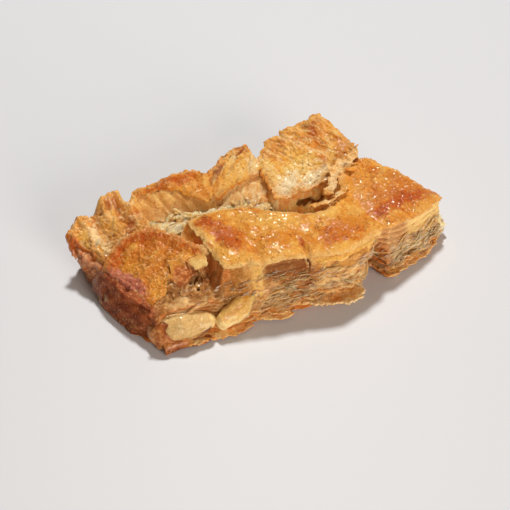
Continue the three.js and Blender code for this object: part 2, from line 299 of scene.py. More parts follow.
def fine_relief(name, x, y):
    """The wrinkles, blisters and flaked places of the baked surface."""
    flaked = noise2(x, y, 9, 40) + 0.5 * noise2(x, y, 3.4, 41) + 0.25 * noise2(x, y, 1.4, 42)
    r = -0.32 * smooth(0.28, 0.36, flaked) - 0.25 * smooth(-0.42, -0.5, flaked)
    film = 0.14 * crinkle(x, y, 3.2, 43) + 0.12 * crinkle(x, y, 1.6, 47)
    if name == "FR":
        grain = 0.62 * blisters(x, y, 2.1, 50) + 0.25 * blisters(x, y, 1.2, 51)
        where = np.clip(1.25 * smooth(38, 50, x + 3 * noise2(x, y, 6, 52)) + 0.55 * bump(x, y, 17, -36, 11, 6)
                        + 0.35 * bump(x, y, -26, -17, 8, 7) + 0.4 * bump(x, y, -32, -2, 6, 5), 0.03, 1.25)
        return 0.3 * r + 0.06 * crinkle(x, y, 3.2, 43) + 0.14 * crinkle(x, y, 1.5, 47) + (grain - 0.25) * where + 0.12 * noise2(0.5 * x + 0.2 * y, y - 0.3 * x, 3.2, 46)
    if name == "BP":
        back = smooth(16, 26, y + 0.35 * (x - 35))
        foil = np.clip(0.15 + 0.85 * back + 0.8 * bump(x, y, 50, 16, 8, 10), 0, 1)
        across, down = 0.92 * x + 0.38 * y, 0.38 * x - 0.92 * y      # creases run down from the peak
        folds = 0.8 * crinkle(across, 0.3 * down, 4.6, 53) + 0.2 * crinkle(across, 0.45 * down, 2.1, 54)
        return 0.25 * r + 0.7 * film + folds * foil
    if name == "LF":
        across, down = 0.95 * x + 0.3 * y, 0.4 * y - 0.1 * x
        return 0.8 * r + film + 0.75 * crinkle(across, down, 4.6, 55) + 0.3 * crinkle(across, down, 2.2, 56)
    if name == "FL":
        grain = 0.4 * blisters(x, y, 1.9, 57)
        pinched = bump(x, y, -74.5, -8, 13, 4, 112)
        return 0.7 * r + film + 0.4 * crinkle(x, y, 5.0, 59) + 0.8 * grain * smooth(-20, -2, y) + 0.25 * crinkle(x, y, 1.7, 65) + 0.7 * crinkle(x, 0.7 * y, 2.4, 64) * pinched
    if name in FACES:
        return 0.25 * film + 0.12 * noise2(x, y, 2.0, 62)
    back = smooth(26, 31, y)
    streak = crinkle(0.45 * x + 0.3 * y, 1.2 * y - 1.0 * x, 4.0, 60)
    return (r + 0.3 * crinkle(x, y, 3.4, 61)) * back + film * 0.6 + (0.60 * streak if name == "BM" else 0.15 * streak)


def square_at(name, x, y):
    """Everything about one square at points x, y: heights, edge distance, where crust is kept."""
    corners, drop, rnd = SQUARES[name]
    base = square_height(x, y, corners)
    d = inside_poly(x, y, corners) + 0.8 * noise2(x, y, 7, 300) + 0.5 * noise2(x, y, 2.4, 301) + 0.25 * noise2(x, y, 1.1, 302)
    soft = base + broad_relief(name, x, y)
    soft = soft - 0.35 * rnd * np.clip(1 - np.maximum(d, 0) / rnd, 0, 1) ** 2
    fine = fine_relief(name, x, y)
    keep = np.full(np.shape(x), 50.0)
    if name == "LF":     # the upright leaf at its back, the notch beside it, and the sharp left tip
        soft = soft + 4.2 * np.exp(-(((y - 37.5) / 2.6) ** 2)) * smooth(-70.5, -66.5, x) * smooth(-56.8, -58.2, x)
        soft = soft - 3.0 * bump(x, y, -55.0, 37, 1.7, 4) - 1.8 * bump(x, y, -72.5, 37, 2.0, 4)
        soft = soft + 1.8 * bump(x, y, -86, 32, 2.5, 4)
    if name == "FL":     # the dark raised crest along its far edge
        for a, b, up_by in (((-78, 5), (-69, 11), 1.4), ((-69, 11), (-61, 9), 2.0), ((-61, 9), (-55, 6.5), 2.2), ((-55, 6.5), (-47, -5), 2.2), ((-47, -5), (-39.5, -15.5), 1.6)):
            t, q = along(x, y, a, b)
            crest_h = base + up_by * np.exp(-((q / 3.4) ** 2)) + 0.3 * noise2(x, y, 2.6, 55)
            soft = np.maximum(soft, crest_h)
        torn = inside_poly(x, y, TORN) + 1.4 * noise2(x, y, 4.5, 57) + 0.5 * noise2(x, y, 1.8, 58)
        t = smooth(-0.6, 1.2, torn)
        soft = soft * (1 - t) + np.minimum(soft, torn_slope(x, y) - 1.3 + 0.5 * noise2(x, y, 4, 59)) * t
        keep = -torn
    return {"top": soft + fine, "soft": soft, "base": base, "d": d, "drop": drop, "keep": keep}


# ---------------------------------------------------------------- the solid as a field
STEP = ((0.5, 0.5, 0.35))
LOW = np.array([-95.0, -53.0, -0.8])
HIGH = np.array([90.0, 48.5, 41.0])
xs = np.arange(LOW[0], HIGH[0], STEP[0])
ys = np.arange(LOW[1], HIGH[1], STEP[1])
zs = np.arange(LOW[2], HIGH[2], STEP[2])
GX, GY = np.meshgrid(xs, ys, indexing="ij")

# Groups of sheets, as a share of the height: thin and crisp near the bottom, thick and soft on top.
SHEET_TOPS = np.array([0.03, 0.07, 0.115, 0.165, 0.225, 0.29, 0.36, 0.44, 0.52, 0.61, 0.71, 0.82, 0.94, 1.4])
N_SHEETS = len(SHEET_TOPS)

wander_low = 1.5 * noise2(GX, GY, 24, 71) + 0.8 * noise2(GX, GY, 9, 72) + 0.3 * noise2(GX, GY, 3.6, 73)
wander_high = 1.5 * noise2(GX, GY, 21, 74) + 0.8 * noise2(GX, GY, 8, 75) + 0.3 * noise2(GX, GY, 3.3, 76)
edge_out, gap_deep = [], []
for k in range(N_SHEETS):
    fuss = 1.0 if k < 8 else 0.45
    n = 1.3 * noise2(GX, GY, 15, 100 + k) + fuss * (1.0 * noise2(GX, GY, 5.5, 140 + k) + 0.45 * noise2(GX, GY, 2.0, 180 + k))
    g = 0.9 + 3.2 * noise2(GX, GY, 11, 220 + k) + 1.0 * noise2(GX, GY, 4.0, 260 + k)
    if k >= 11:
        n = 0.6 * noise2(GX, GY, 12, 100 + k) + 0.35 * noise2(GX, GY, 3, 180 + k)
        g = 0.2 + 1.2 * noise2(GX, GY, 13, 220 + k)
    edge_out.append(n)
    gap_deep.append(np.clip(g, 0, 3.4))
edge_out, gap_deep = np.array(edge_out, np.float32), np.array(gap_deep, np.float32)

# How far the cut walls are layered: the left end is a baked side crust, rounded and closed.
baked = smooth(-66, -76, GX)
ragged = 1 - 0.85 * baked

squares = {name: square_at(name, GX, GY) for name in SQUARES}
floor_z = FLOOR_Z + 1.6 * fbm2(GX, GY, 9, 81, 2) + 0.8 * crinkle(GX, GY, 5.0, 82) - 2.5 * smooth(2, 12, GX) + 1.0 * smooth(-14, -26, GX) - 2.5 * smooth(-36, -44, GX)
crest = np.max([s["top"] + np.minimum(s["d"], 0) * s["drop"] for s in squares.values()], axis=0)
crest = np.maximum(crest, floor_z)
unit = np.clip(np.max([s["base"] + np.minimum(s["d"], 0) * s["drop"] for s in squares.values()], axis=0), 15, 40)

outline_at = []
fine_levels = [0, 4, 8, 13, 18, 24, 30, 41]
for z in fine_levels:
    a = max(i for i in range(len(LEVELS)) if LEVELS[i] <= min(z, 29.9))
    t = min((z - LEVELS[a]) / (LEVELS[a + 1] - LEVELS[a]), 1.15)
    pts = [tuple(np.array(p[a]) * (1 - t) + np.array(p[a + 1]) * t) for p in OUTLINE]
    outline_at.append(inside_poly(GX, GY, pts))


def wall_at(z):
    a = max(i for i in range(len(fine_levels) - 1) if fine_levels[i] <= max(z, 0))
    t = (z - fine_levels[a]) / (fine_levels[a + 1] - fine_levels[a])
    return outline_at[a] * (1 - t) + outline_at[a + 1] * t


def slits(z):
    """Chopping cuts down the front wall, closed again under the crust."""
    out = np.full(GX.shape, 1e3)
    for (ax, ay), (bx, by), deep, wide, top in (
        ((-21.2, -46), (-20.0, -29), 9, 0.5, 27), ((-1.2, -52), (0.5, -32), 19, 0.9, 28.5)):
        ex, ey = bx - ax, by - ay
        t = ((GX - ax) * ex + (GY - ay) * ey) / (ex * ex + ey * ey)
        side = ((GX - ax) * ey - (GY - ay) * ex) / math.hypot(ex, ey) + 0.9 * noise2(GX, GY + z, 6, 90)
        bottom = top - deep * (1 - 0.85 * np.clip(t, 0, 1))
        open_w = wide * np.clip((z - bottom) / 6, 0, 1) * np.clip((top + 1 - z) / 3, 0.25, 1) * (1 - np.clip(t, 0, 1))
        s = np.maximum(np.abs(side) - open_w, bottom - z)
        out = np.minimum(out, np.where((t > 1) | (t < 0), 10.0, s))
    return out


def pocket(x, y, z, at, size, turn=0.0):
    c, s = math.cos(math.radians(turn)), math.sin(math.radians(turn))
    dx, dy, dz = x - at[0], y - at[1], z - at[2]
    dx, dy = c * dx + s * dy, -s * dx + c * dy
    q = np.sqrt((dx / size[0]) ** 2 + (dy / size[1]) ** 2 + (dz / size[2]) ** 2)
    return (q - 1) * min(size)


POCKETS = [
    ((28.0, 6.2, 18.9), (9.5, 4.3, 3.8), 6),     # under the curled lip of the back row
    ((-21.0, -41.5, 5.2), (3.0, 3.6, 2.4), 0),    # the small hole over the bottom crust
    ((-7.0, -41.5, 9.5), (3.2, 3.0, 2.0), 0),
    ((9.0, -47.5, 6.6), (15.0, 4.0, 1.5), -6),    # the gap over the crisp flake
    ((54.0, -40.0, 6.5), (7.0, 4.5, 1.8), 8),     # the brown gap low in the right end
    ((36.0, -36.0, 6.0), (5.5, 6.0, 7.0), -30),   # the recess where the front row steps back
    ((-45.5, 22.5, 16.5), (3.0, 2.4, 3.2), 20),   # a small hole in the torn dough behind
]


def soft_faces(x, y, share):
    """Places in the cut walls where thick soft sheets show as one smooth face."""
    front = smooth(-12, -22, y)
    arch = 0.055 * ((x + 11) / 9.0) ** 2
    second = front * smooth(-23, -17, x) * smooth(-0.5, -2.5, x) * band(share + arch, 0.60, 0.93, 0.03)
    end = smooth(-4, -14, y) * smooth(40, 44, x) * band(share - 0.05 * np.sin(0.35 * x), 0.48, 0.97, 0.05)
    first = front * band(x, -39, -21, 2.0) * band(share + 0.04 * np.sin(0.5 * x), 0.50, 0.95, 0.04)
    third = front * band(x, 0, 38, 2.0) * band(share + 0.05 * np.sin(0.3 * x), 0.62, 0.95, 0.04)
    return first, second, third, end


field = np.empty((len(xs), len(ys), len(zs)), np.float32)
for iz, z in enumerate(zs):
    w = np.clip(z / 30, 0, 1)
    wander = (wander_low * (1 - w) + wander_high * w) * np.clip(z / 8, 0, 1) * np.clip((unit - z) / 6 + 0.3, 0, 1)
    share = (z + wander) / unit
    k = np.clip(np.searchsorted(SHEET_TOPS, share), 0, N_SHEETS - 1)
    top = SHEET_TOPS[k]
    below = np.where(k > 0, SHEET_TOPS[np.maximum(k - 1, 0)], -0.1)
    near = np.minimum(top - share, share - below) * unit      # mm to the nearest gap
    round_edge = np.clip(near / (0.5 * (top - below) * unit + 1e-6), 0, 1)
    take = lambda a: np.take_along_axis(a, k[None], 0)[0]
    gap = take(gap_deep) * np.clip(1 - near / 0.55, 0, 1)
    first, second, third, end = soft_faces(GX, GY, share)
    soft = np.clip(0.9 * first + second + 0.6 * third + end, 0, 1)
    gap = gap * (0.35 + 0.35 * smooth(0.42, 0.22, share))
    gap, edge = gap * (1 - soft), take(edge_out) * (1 - 0.7 * soft)
    pull = ragged * (gap - edge * 0.9 - 0.7 * (1 - (1 - round_edge) ** 2) + 0.9 + 2.2 * second * smooth(0.6, 0.8, share) + 1.6 * end - 0.8 * first - 0.3 * third)
    run = 0.8 * GX + 0.6 * GY
    lumps = 1.3 * noise2(run, np.full_like(run, 1.5 * z), 6.5, 98) + 0.8 * noise2(run, np.full_like(run, 2.0 * z), 2.8, 99)
    pull = pull + lumps * (1 - soft) * ragged * smooth(0, 4, z)
    outer = wall_at(z)
    hollow = 2.4 * band(GX + 0.25 * (GY + 34), -70, -46, 2.5) * smooth(-18, -24, GY) * smooth(13.5, 10.5, z)
    wall = outer - hollow - pull - 1.1 * baked * noise2(GX, GY + 1.2 * z, 7, 95) - 0.4 * baked * noise2(GX, GY + z, 2.6, 96)
    f = (floor_z - z) * 0.7
    for s in squares.values():
        h = np.where(s["keep"] > 0, s["soft"] - 0.45, s["top"] - 0.1)
        side = s["d"] + (h - z) / s["drop"] - 0.45 * (gap - edge * 0.5)
        f = np.maximum(f, np.minimum((h - z) * 0.75, side))
    f = np.minimum(f, wall)
    f = np.minimum(f, slits(z))
    for at, size, turn in POCKETS:
        if abs(z - at[2]) < size[2] + 2:
            f = np.minimum(f, pocket(GX, GY, z, at, size, turn) + 0.6 * noise2(GX, GY + z, 3.4, 97))
    field[:, :, iz] = np.minimum(f, z * 1.0 + 0.0001)


def surface_net(F, low, step):
    """A closed skin of quads over the places where the field changes sign."""
    S = F > 0
    n = S[:-1, :-1, :-1].astype(np.int8)
    for dx, dy, dz in ((1, 0, 0), (0, 1, 0), (0, 0, 1), (1, 1, 0), (1, 0, 1), (0, 1, 1), (1, 1, 1)):
        n += S[dx:n.shape[0] + dx, dy:n.shape[1] + dy, dz:n.shape[2] + dz]
    act = (n > 0) & (n < 8)
    ids = np.full(act.shape, -1, np.int32)
    cells = np.argwhere(act)
    ids[act] = np.arange(len(cells))
    corners = [(a, b, c) for a in (0, 1) for b in (0, 1) for c in (0, 1)]
    val = {c: F[cells[:, 0] + c[0], cells[:, 1] + c[1], cells[:, 2] + c[2]] for c in corners}
    acc, cnt = np.zeros((len(cells), 3)), np.zeros(len(cells))
    for a in corners:
        for axis in range(3):
            if a[axis]:
                continue
            b = list(a); b[axis] = 1; b = tuple(b)
            fa, fb = val[a], val[b]
            cross = (fa > 0) != (fb > 0)
            t = np.where(cross, fa / np.where(cross, fa - fb, 1), 0)
            p = np.repeat(np.array([a], float), len(cells), 0)
            p[:, axis] += t
            acc += np.where(cross[:, None], p, 0)
            cnt += cross
    verts = (cells + acc / cnt[:, None]) * np.array(step) + low
    quads = []
    for axis in range(3):
        u, v = [(1, 2), (2, 0), (0, 1)][axis]
        sl0, sl1 = [slice(None)] * 3, [slice(None)] * 3
        sl0[axis], sl1[axis] = slice(0, -1), slice(1, None)
        a, b = S[tuple(sl0)], S[tuple(sl1)]
        e = np.argwhere(a != b)
        ok = (e[:, u] > 0) & (e[:, v] > 0) & (e[:, u] < F.shape[u] - 1) & (e[:, v] < F.shape[v] - 1)
        e = e[ok]
        out = a[e[:, 0], e[:, 1], e[:, 2]]
        q = []
        for du, dv in ((-1, -1), (0, -1), (0, 0), (-1, 0)):
            c = e.copy()
            c[:, u] += du
            c[:, v] += dv
            q.append(ids[c[:, 0], c[:, 1], c[:, 2]])
        q = np.array(q).T
        q[~out] = q[~out][:, ::-1]
        quads.append(q)
    return verts, np.concatenate(quads)


def drop_bits(verts, quads, least):
    """Leaves out loose bits with fewer than `least` faces."""
    if not len(quads):
        return verts, quads
    label = np.arange(len(verts))
    a = np.concatenate([quads[:, 0], quads[:, 1], quads[:, 2]])
    b = np.concatenate([quads[:, 1], quads[:, 2], quads[:, 3]])
    while True:
        low = np.minimum(label[a], label[b])
        new = label.copy()
        np.minimum.at(new, a, low)
        np.minimum.at(new, b, low)
        new = new[new]
        new = new[new]
        if (new == label).all():
            break
        label = new
    count = np.bincount(label[quads[:, 0]], minlength=len(verts))
    ok = count[label[quads[:, 0]]] >= least
    quads = quads[ok]
    used = np.zeros(len(verts), bool)
    used[quads.ravel()] = True
    remap = np.cumsum(used) - 1
    return verts[used], remap[quads]


def make_mesh(name, verts, faces, smooth_shade=True):
    """A Blender object from millimetre points and equal-sized faces."""
    me = bpy.data.meshes.new(name)
    verts = (np.asarray(verts) + SHIFT) * 0.001
    faces = np.asarray(faces, np.int32)
    me.vertices.add(len(verts))
    me.vertices.foreach_set("co", verts.astype(np.float32).ravel())
    me.loops.add(faces.size)
    me.loops.foreach_set("vertex_index", faces.ravel())
    me.polygons.add(len(faces))
    me.polygons.foreach_set("loop_start", np.arange(0, faces.size, faces.shape[1], dtype=np.int32))
    me.polygons.foreach_set("use_smooth", np.full(len(faces), smooth_shade))
    me.update(calc_edges=True)
    ob = bpy.data.objects.new(name, me)
    bpy.context.scene.collection.objects.link(ob)
    return ob


def decimate(ob, target):
    """Fewer triangles where the surface is plain, applied to the mesh."""
    tris = 2 * len(ob.data.polygons)
    if tris > target:
        m = ob.modifiers.new("fewer", "DECIMATE")
        m.ratio = target / tris
        m.use_collapse_triangulate = True
        dg = bpy.context.evaluated_depsgraph_get()
        me = bpy.data.meshes.new_from_object(ob.evaluated_get(dg))
        ob.modifiers.clear()
        old = ob.data
        me.name = old.name + "_mesh"
        ob.data = me
        bpy.data.meshes.remove(old)
    return ob


def points_of(ob):
    co = np.empty(len(ob.data.vertices) * 3, np.float32)
    ob.data.vertices.foreach_get("co", co)
    no = np.empty(len(ob.data.vertices) * 3, np.float32)
    ob.data.vertices.foreach_get("normal", no)
    return co.reshape(-1, 3) * 1000 - SHIFT, no.reshape(-1, 3)


def sample(grid, x, y):
    """A plan grid read at any points."""
    u = np.clip((x - xs[0]) / STEP[0], 0, len(xs) - 1.001)
    v = np.clip((y - ys[0]) / STEP[1], 0, len(ys) - 1.001)
    i, j = u.astype(int), v.astype(int)
    u, v = u - i, v - j
    return (grid[i, j] * (1 - u) + grid[i + 1, j] * u) * (1 - v) + (grid[i, j + 1] * (1 - u) + grid[i + 1, j + 1] * u) * v


# How closed in each place is: the share of solid in a small block around it, which sets painted shade in gaps and
# hollows and painted light on bits that stand out.
def blurred(F, size):
    A = (F > 0).astype(np.float32)
    for axis in range(3):
        r = max(1, int(round(size / STEP[axis] / 2)))
        pad = [(0, 0)] * 3
        pad[axis] = (r + 1, r)
        c = np.cumsum(np.pad(A, pad, mode="edge"), axis=axis)
        hi = [slice(None)] * 3; lo = [slice(None)] * 3
        hi[axis], lo[axis] = slice(2 * r + 1, None), slice(0, -(2 * r + 1))
        A = (c[tuple(hi)] - c[tuple(lo)]) / (2 * r + 1)
    return A


closed_in = blurred(field, 5.0)
closed_fine = blurred(field, 1.9)


def nearest(grid, x, y, z):
    i = np.clip(np.rint((x - xs[0]) / STEP[0]).astype(int), 0, len(xs) - 1)
    j = np.clip(np.rint((y - ys[0]) / STEP[1]).astype(int), 0, len(ys) - 1)
    k = np.clip(np.rint((z - zs[0]) / STEP[2]).astype(int), 0, len(zs) - 1)
    return grid[i, j, k]


def sculpt(name, low, high, step, fn, target, least=60):
    """A small solid from a field of its own, on a finer grid."""
    step = (step,) * 3 if np.isscalar(step) else step
    step = tuple(s * 1 for s in step)
    g = [np.arange(low[i], high[i] + step[i], step[i]).astype(np.float32) for i in range(3)]
    F = fn(*g).astype(np.float32)
    for axis in range(3):
        e = [slice(None)] * 3
        for end in (0, -1):
            e[axis] = end
            F[tuple(e)] = -1
    v, q = surface_net(F, np.array(low, float), step)
    v, q = drop_bits(v, q, least)
    ob = make_mesh(name, v, q)
    decimate(ob, target)
    print(name, len(q), "quads,", len(ob.data.polygons), "triangles")
    return ob


def crust_of(*names):
    """The baked crust over some squares: a main leaf, and thinner ones flaking on it."""
    def fn(gx, gy, gz):
        X, Y = np.meshgrid(gx, gy, indexing="ij")
        leaves = []
        for n, name in enumerate(names):
            s = square_at(name, X, Y)
            out = sample(outline_at[6], X, Y)
            proud = {"FR": 0.35, "BP": 1.4, "BM": 1.0, "BL": 0.6, "LF": 1.0, "FL": 0.6}[name]
            calm = 0.5 if name == "FR" else 1.0
            ragged_edge = proud + calm * (0.7 * noise2(X, Y, 6, 350) + 0.5 * noise2(X, Y, 2.0, 351) + 0.25 * noise2(X, Y, 1.0, 352))
            if name in ("LF", "FL"):
                wrap = (6.5 if name == "FL" else 1.5) * smooth(-66, -72, X) * smooth(31, 27, Y)
                mask = np.minimum(np.minimum(s["d"] + ragged_edge + wrap, s["keep"]), out + 0.6 + ragged_edge + 9 * smooth(-66, -70, X))
                fall = np.minimum(s["d"], 0) * s["drop"] * smooth(-66, -70, X)
                leaves.append((s["top"] + fall, s["soft"] + fall - 1.3, mask))
            else:
                mask = np.minimum(np.minimum(s["d"] + ragged_edge, s["keep"]), out + 0.6 + ragged_edge)
                leaves.append((s["top"], s["soft"] - 0.85, mask))
            for k in range(2):
                m = noise2(X, Y, 8, 360 + 5 * k + 10 * n) + 0.5 * noise2(X, Y, 3.2, 361 + 5 * k + 10 * n) + 0.3 * noise2(X, Y, 1.3, 362 + 5 * k + 10 * n)
                m = m - {"FR": 0.48, "BL": 0.45, "FL": 0.3, "BP": 0.42, "LF": 0.35}.get(name, 0.15)
                lift = 0.18 + 0.75 * smooth(0.20, 0.0, m) * (0.5 + 0.5 * noise2(X, Y, 3, 363 + 5 * k))
                top = s["top"] + lift
                leaves.append((top, top - 0.36, np.minimum(np.minimum(m * 3.0, s["d"] + ragged_edge - 0.6), np.minimum(s["keep"] - 0.4, out + ragged_edge))))
        F = np.full((len(gx), len(gy), len(gz)), -5, np.float32)
        for t, b, m in leaves:
            for iz, z in enumerate(gz):
                F[:, :, iz] = np.maximum(F[:, :, iz], np.minimum(np.minimum(t - z, z - b) * 0.8, m))
        return F
    return fn


crumb = make_mesh("crumb", *drop_bits(*surface_net(field, LOW, STEP), 400))
decimate(crumb, 180000)
print("crumb", len(crumb.data.polygons), "triangles")
FINE = (0.36, 0.36, 0.28)
crusts = [
    sculpt("crust_front", (-43, -52, 15), (89, 15, 36), FINE, crust_of("FR"), 140000),
    sculpt("crust_back", (-58, 0, 18), (63, 48.3, 42), FINE, crust_of("BP", "BM", "BL"), 120000),
    sculpt("crust_left", (-94, -36, 4), (-36, 45, 36), FINE, crust_of("LF", "FL"), 110000),
]


# ---------------------------------------------------------------- colour
GOLD, GOLD_PALE, GOLD_DEEP = lin(228, 156, 64), lin(242, 192, 104), lin(214, 134, 46)
BROWN, BROWN_DEEP, RED_BROWN = lin(206, 120, 46), lin(140, 64, 20), lin(188, 88, 32)
CREAM, CREAM_PALE, TAN, TAN_DEEP = lin(226, 170, 100), lin(244, 204, 142), lin(198, 132, 66), lin(156, 86, 36)
SHADE_BROWN, MAUVE, AMBER = lin(124, 60, 32), lin(198, 116, 98), lin(210, 134, 56)
YELLOW, WHITISH = lin(240, 186, 92), lin(250, 220, 170)

# Tones laid on the crust: x, y, length, width, turn, colour, strength.
CRUST_TONES = [
    # front row
    (-27, -14, 14.5, 5.6, 107, lin(196, 98, 24), 0.9), (-32, -2, 4.8, 3.6, 124, RED_BROWN, 0.9), (-28, -18, 7.0, 4.0, 107, RED_BROWN, 0.75),
    (-23, -27, 4.5, 2.4, 160, BROWN, 0.7), (-36, -18, 3.0, 12, 0, YELLOW, 0.6), (-29, -31, 9, 2.6, -15, YELLOW, 0.7),
    (-8, -28, 6.0, 4.4, 154, GOLD_DEEP, 0.8), (1, -32, 2.4, 1.7, 58, RED_BROWN, 0.95), (-2, -17, 10, 6, 153, YELLOW, 0.65), (-11, -10, 9, 4, 150, YELLOW, 0.5),
    (0, -25, 4.5, 3.6, 154, GOLD_DEEP, 0.6), (-11, -37, 8, 2.2, -18, YELLOW, 0.7),
    (21, -34, 14, 6.0, 4, lin(204, 108, 28), 0.85), (15, -38, 6, 2.2, -20, RED_BROWN, 0.5), (28, -36, 5, 2.2, 0, RED_BROWN, 0.5), (29, -31, 8, 5, 15, GOLD_DEEP, 0.7), (17, -44, 12, 2.4, -6, YELLOW, 0.75),
    (20, -20, 9, 4, 12, GOLD_PALE, 0.8), (36, -22, 6, 4, 30, GOLD_PALE, 0.5),
    # right end
    (60, -20, 21, 9, 5, BROWN, 0.9), (46, -28, 6.0, 4.0, 10, RED_BROWN, 0.95), (55, -27, 6, 3.4, 8, RED_BROWN, 0.9), (62, -23, 6.5, 4.0, 10, RED_BROWN, 0.95), (69, -23, 6, 3.2, 4, RED_BROWN, 0.95), (77, -22.5, 7, 2.6, 4, RED_BROWN, 0.9),
    (59, -2, 5.5, 3.6, 103, BROWN, 0.8), (65, -9, 6.0, 4.4, 96, BROWN, 0.7), (68, -14, 6, 4, 96, BROWN, 0.6), (43, -9, 11, 8, 55, GOLD, 0.8), (47, -2, 8, 5, 30, GOLD_DEEP, 0.6),
    (76, -15, 8, 4.5, 112, GOLD_DEEP, 0.6), (50, -13, 6, 5.5, 42, BROWN, 0.45), (80, -25, 5, 1.8, 153, YELLOW, 0.7), (55, 6, 6, 4, 0, GOLD_DEEP, 0.6),
    # back row
    (46, 33, 8.0, 4.2, 56, BROWN, 0.95), (46, 36, 4.0, 2.6, 56, RED_BROWN, 0.7), (37, 32, 5.5, 3.0, 24, BROWN, 0.7), (41, 16, 5.5, 3.0, 56, BROWN, 0.7), (52, 15, 12, 6.5, 44, AMBER, 0.85),
    (25, 35, 10, 3.8, 27, AMBER, 0.8), (27, 17, 12, 9, 8, YELLOW, 0.9), (30, 18, 6, 4, 10, GOLD_PALE, 0.8), (18, 11, 8.5, 5.0, 25, lin(255, 232, 190), 0.9), (30, 8, 9, 3.2, 14, lin(255, 232, 190), 0.85), (14, 19, 3.5, 6, 0, CREAM_PALE, 0.7), (39, 5, 6.5, 4.6, 83, CREAM_PALE, 0.8),
    (46, 18, 8, 2.2, 54, GOLD_PALE, 0.6), (29, 28, 6, 3, 60, GOLD_PALE, 0.6), (14, 24, 4, 9, 0, GOLD_PALE, 0.7),
    (0, 29, 14, 7, 20, YELLOW, 0.7), (-10, 31, 6.0, 2.8, 37, lin(150, 84, 60), 0.85), (-12, 35, 7, 2.4, 14, BROWN, 0.9), (7, 38.5, 5.0, 3.0, 30, lin(164, 70, 30), 0.95), (1, 36, 3.4, 1.6, 40, WHITISH, 0.8), (9, 29, 7, 3.4, 62, WHITISH, 0.85), (-14, 24, 5, 2.5, 50, AMBER, 0.6),
    (-36, 37, 16, 3.4, 2, BROWN, 0.85), (-28, 34, 9, 2.8, 0, RED_BROWN, 0.75), (-38, 36, 6, 2.0, 0, RED_BROWN, 0.6), (-48, 35, 6, 3, 8, AMBER, 0.7), (-22, 26, 5, 6, 0, AMBER, 0.7), (-28, 28, 6, 3, -40, GOLD, 0.8),
    # left end
    (-63, 37, 7.5, 4.0, 74, BROWN, 0.85), (-62, 30, 6, 4, 60, AMBER, 0.6), (-76, 33, 6.5, 5, 54, GOLD, 0.7), (-76, 26, 8.5, 2.4, 68, WHITISH, 0.9), (-74, 15, 6.2, 2.2, 56, WHITISH, 0.85), (-66, 26, 7, 1.8, 80, GOLD_PALE, 0.8), (-81, 27, 5, 2.0, 80, GOLD_PALE, 0.7),
    (-66, 17, 7, 5, 40, GOLD_DEEP, 0.6), (-85, 22, 9, 2.6, 107, RED_BROWN, 0.85), (-57, 24, 7.5, 2.2, 67, RED_BROWN, 0.8), (-54, 34, 3, 5, 67, GOLD_PALE, 0.7), (-80, 8, 6, 5, 90, BROWN, 0.6),
    (-68, 9.5, 8.5, 3.6, 15, RED_BROWN, 0.95), (-57, 6, 7.5, 4.0, 150, RED_BROWN, 0.95), (-48, -4, 10.5, 3.4, 126, RED_BROWN, 0.95), (-41, -14, 5, 2.6, 130, RED_BROWN, 0.9), (-75, 5, 6, 4, 40, RED_BROWN, 0.8), (-62, 1, 10, 4, 160, BROWN, 0.8), (-52, -5, 8, 3, 130, BROWN, 0.7),
    (-62, -10, 9, 8, 135, AMBER, 0.9), (-62, -17, 4.0, 3.4, 84, GOLD, 0.8), (-44, -20, 4.5, 2.6, 161, CREAM_PALE, 0.9), (-50, -14, 6, 3, 140, GOLD, 0.7), (-72, -14, 5, 7, 10, BROWN, 0.7), (-66, -26, 7, 3, 0, AMBER, 0.8),
]

# Tones in the cut walls: x from-to, share of the height from-to, colour, strength. The dark tones at the left of the
# front row, in the arch under its middle and down the crack at x -4 to 2 are painted shade.
WALL_TONES_AND_SHADE = [
    (-40, -27, 0.55, 0.97, lin(186, 128, 62), 0.85), (-27, -20, 0.62, 0.97, lin(240, 196, 116), 0.8), (-40, -28, 0.24, 0.55, lin(160, 104, 54), 0.85), (-32, -21, 0.36, 0.60, lin(196, 142, 86), 0.7),
    (-20, -2, 0.66, 0.94, lin(150, 94, 50), 0.9), (-20, -4, 0.48, 0.62, lin(236, 200, 150), 0.6), (-12, 0, 0.30, 0.52, TAN, 0.8), (-24, -8, 0.22, 0.46, CREAM, 0.6),
    (-4, 2, 0.30, 0.85, lin(150, 84, 42), 0.8), (2, 40, 0.82, 0.97, YELLOW, 0.7), (2, 38, 0.68, 0.80, lin(206, 146, 72), 0.8), (4, 38, 0.40, 0.66, CREAM_PALE, 0.8), (2, 16, 0.26, 0.40, WHITISH, 0.5),
    (40, 62, 0.48, 0.97, lin(204, 154, 102), 0.9), (56, 88, 0.50, 0.98, lin(252, 212, 140), 0.9), (44, 88, 0.30, 0.50, lin(254, 228, 180), 0.9), (44, 60, 0.20, 0.30, lin(166, 92, 40), 0.8), (56, 86, 0.10, 0.34, lin(246, 196, 126), 0.8), (48, 84, 0.30, 0.52, lin(255, 232, 190), 0.5),
]


def plan_blur(A, size):
    for axis in (0, 1):
        r = max(1, int(round(size / STEP[axis] / 2)))
        pad = [(0, 0)] * 2
        pad[axis] = (r + 1, r)
        c = np.cumsum(np.pad(A, pad, mode="edge"), axis=axis)
        hi, lo = [slice(None)] * 2, [slice(None)] * 2
        hi[axis], lo[axis] = slice(2 * r + 1, None), slice(0, -(2 * r + 1))
        A = (c[tuple(hi)] - c[tuple(lo)]) / (2 * r + 1)
    return A


# Height above the blurred crest: the finer measure sets painted light on the crust's ridges and painted shade in its
# valleys; the broader one browns broad rises.
ridged = crest - plan_blur(plan_blur(crest, 2.6), 2.6)
broad_ridged = crest - plan_blur(plan_blur(crest, 6.0), 6.0)


def tint(col, w, colour):
    w = np.asarray(w)[:, None]
    return col * (1 - w) + colour * w


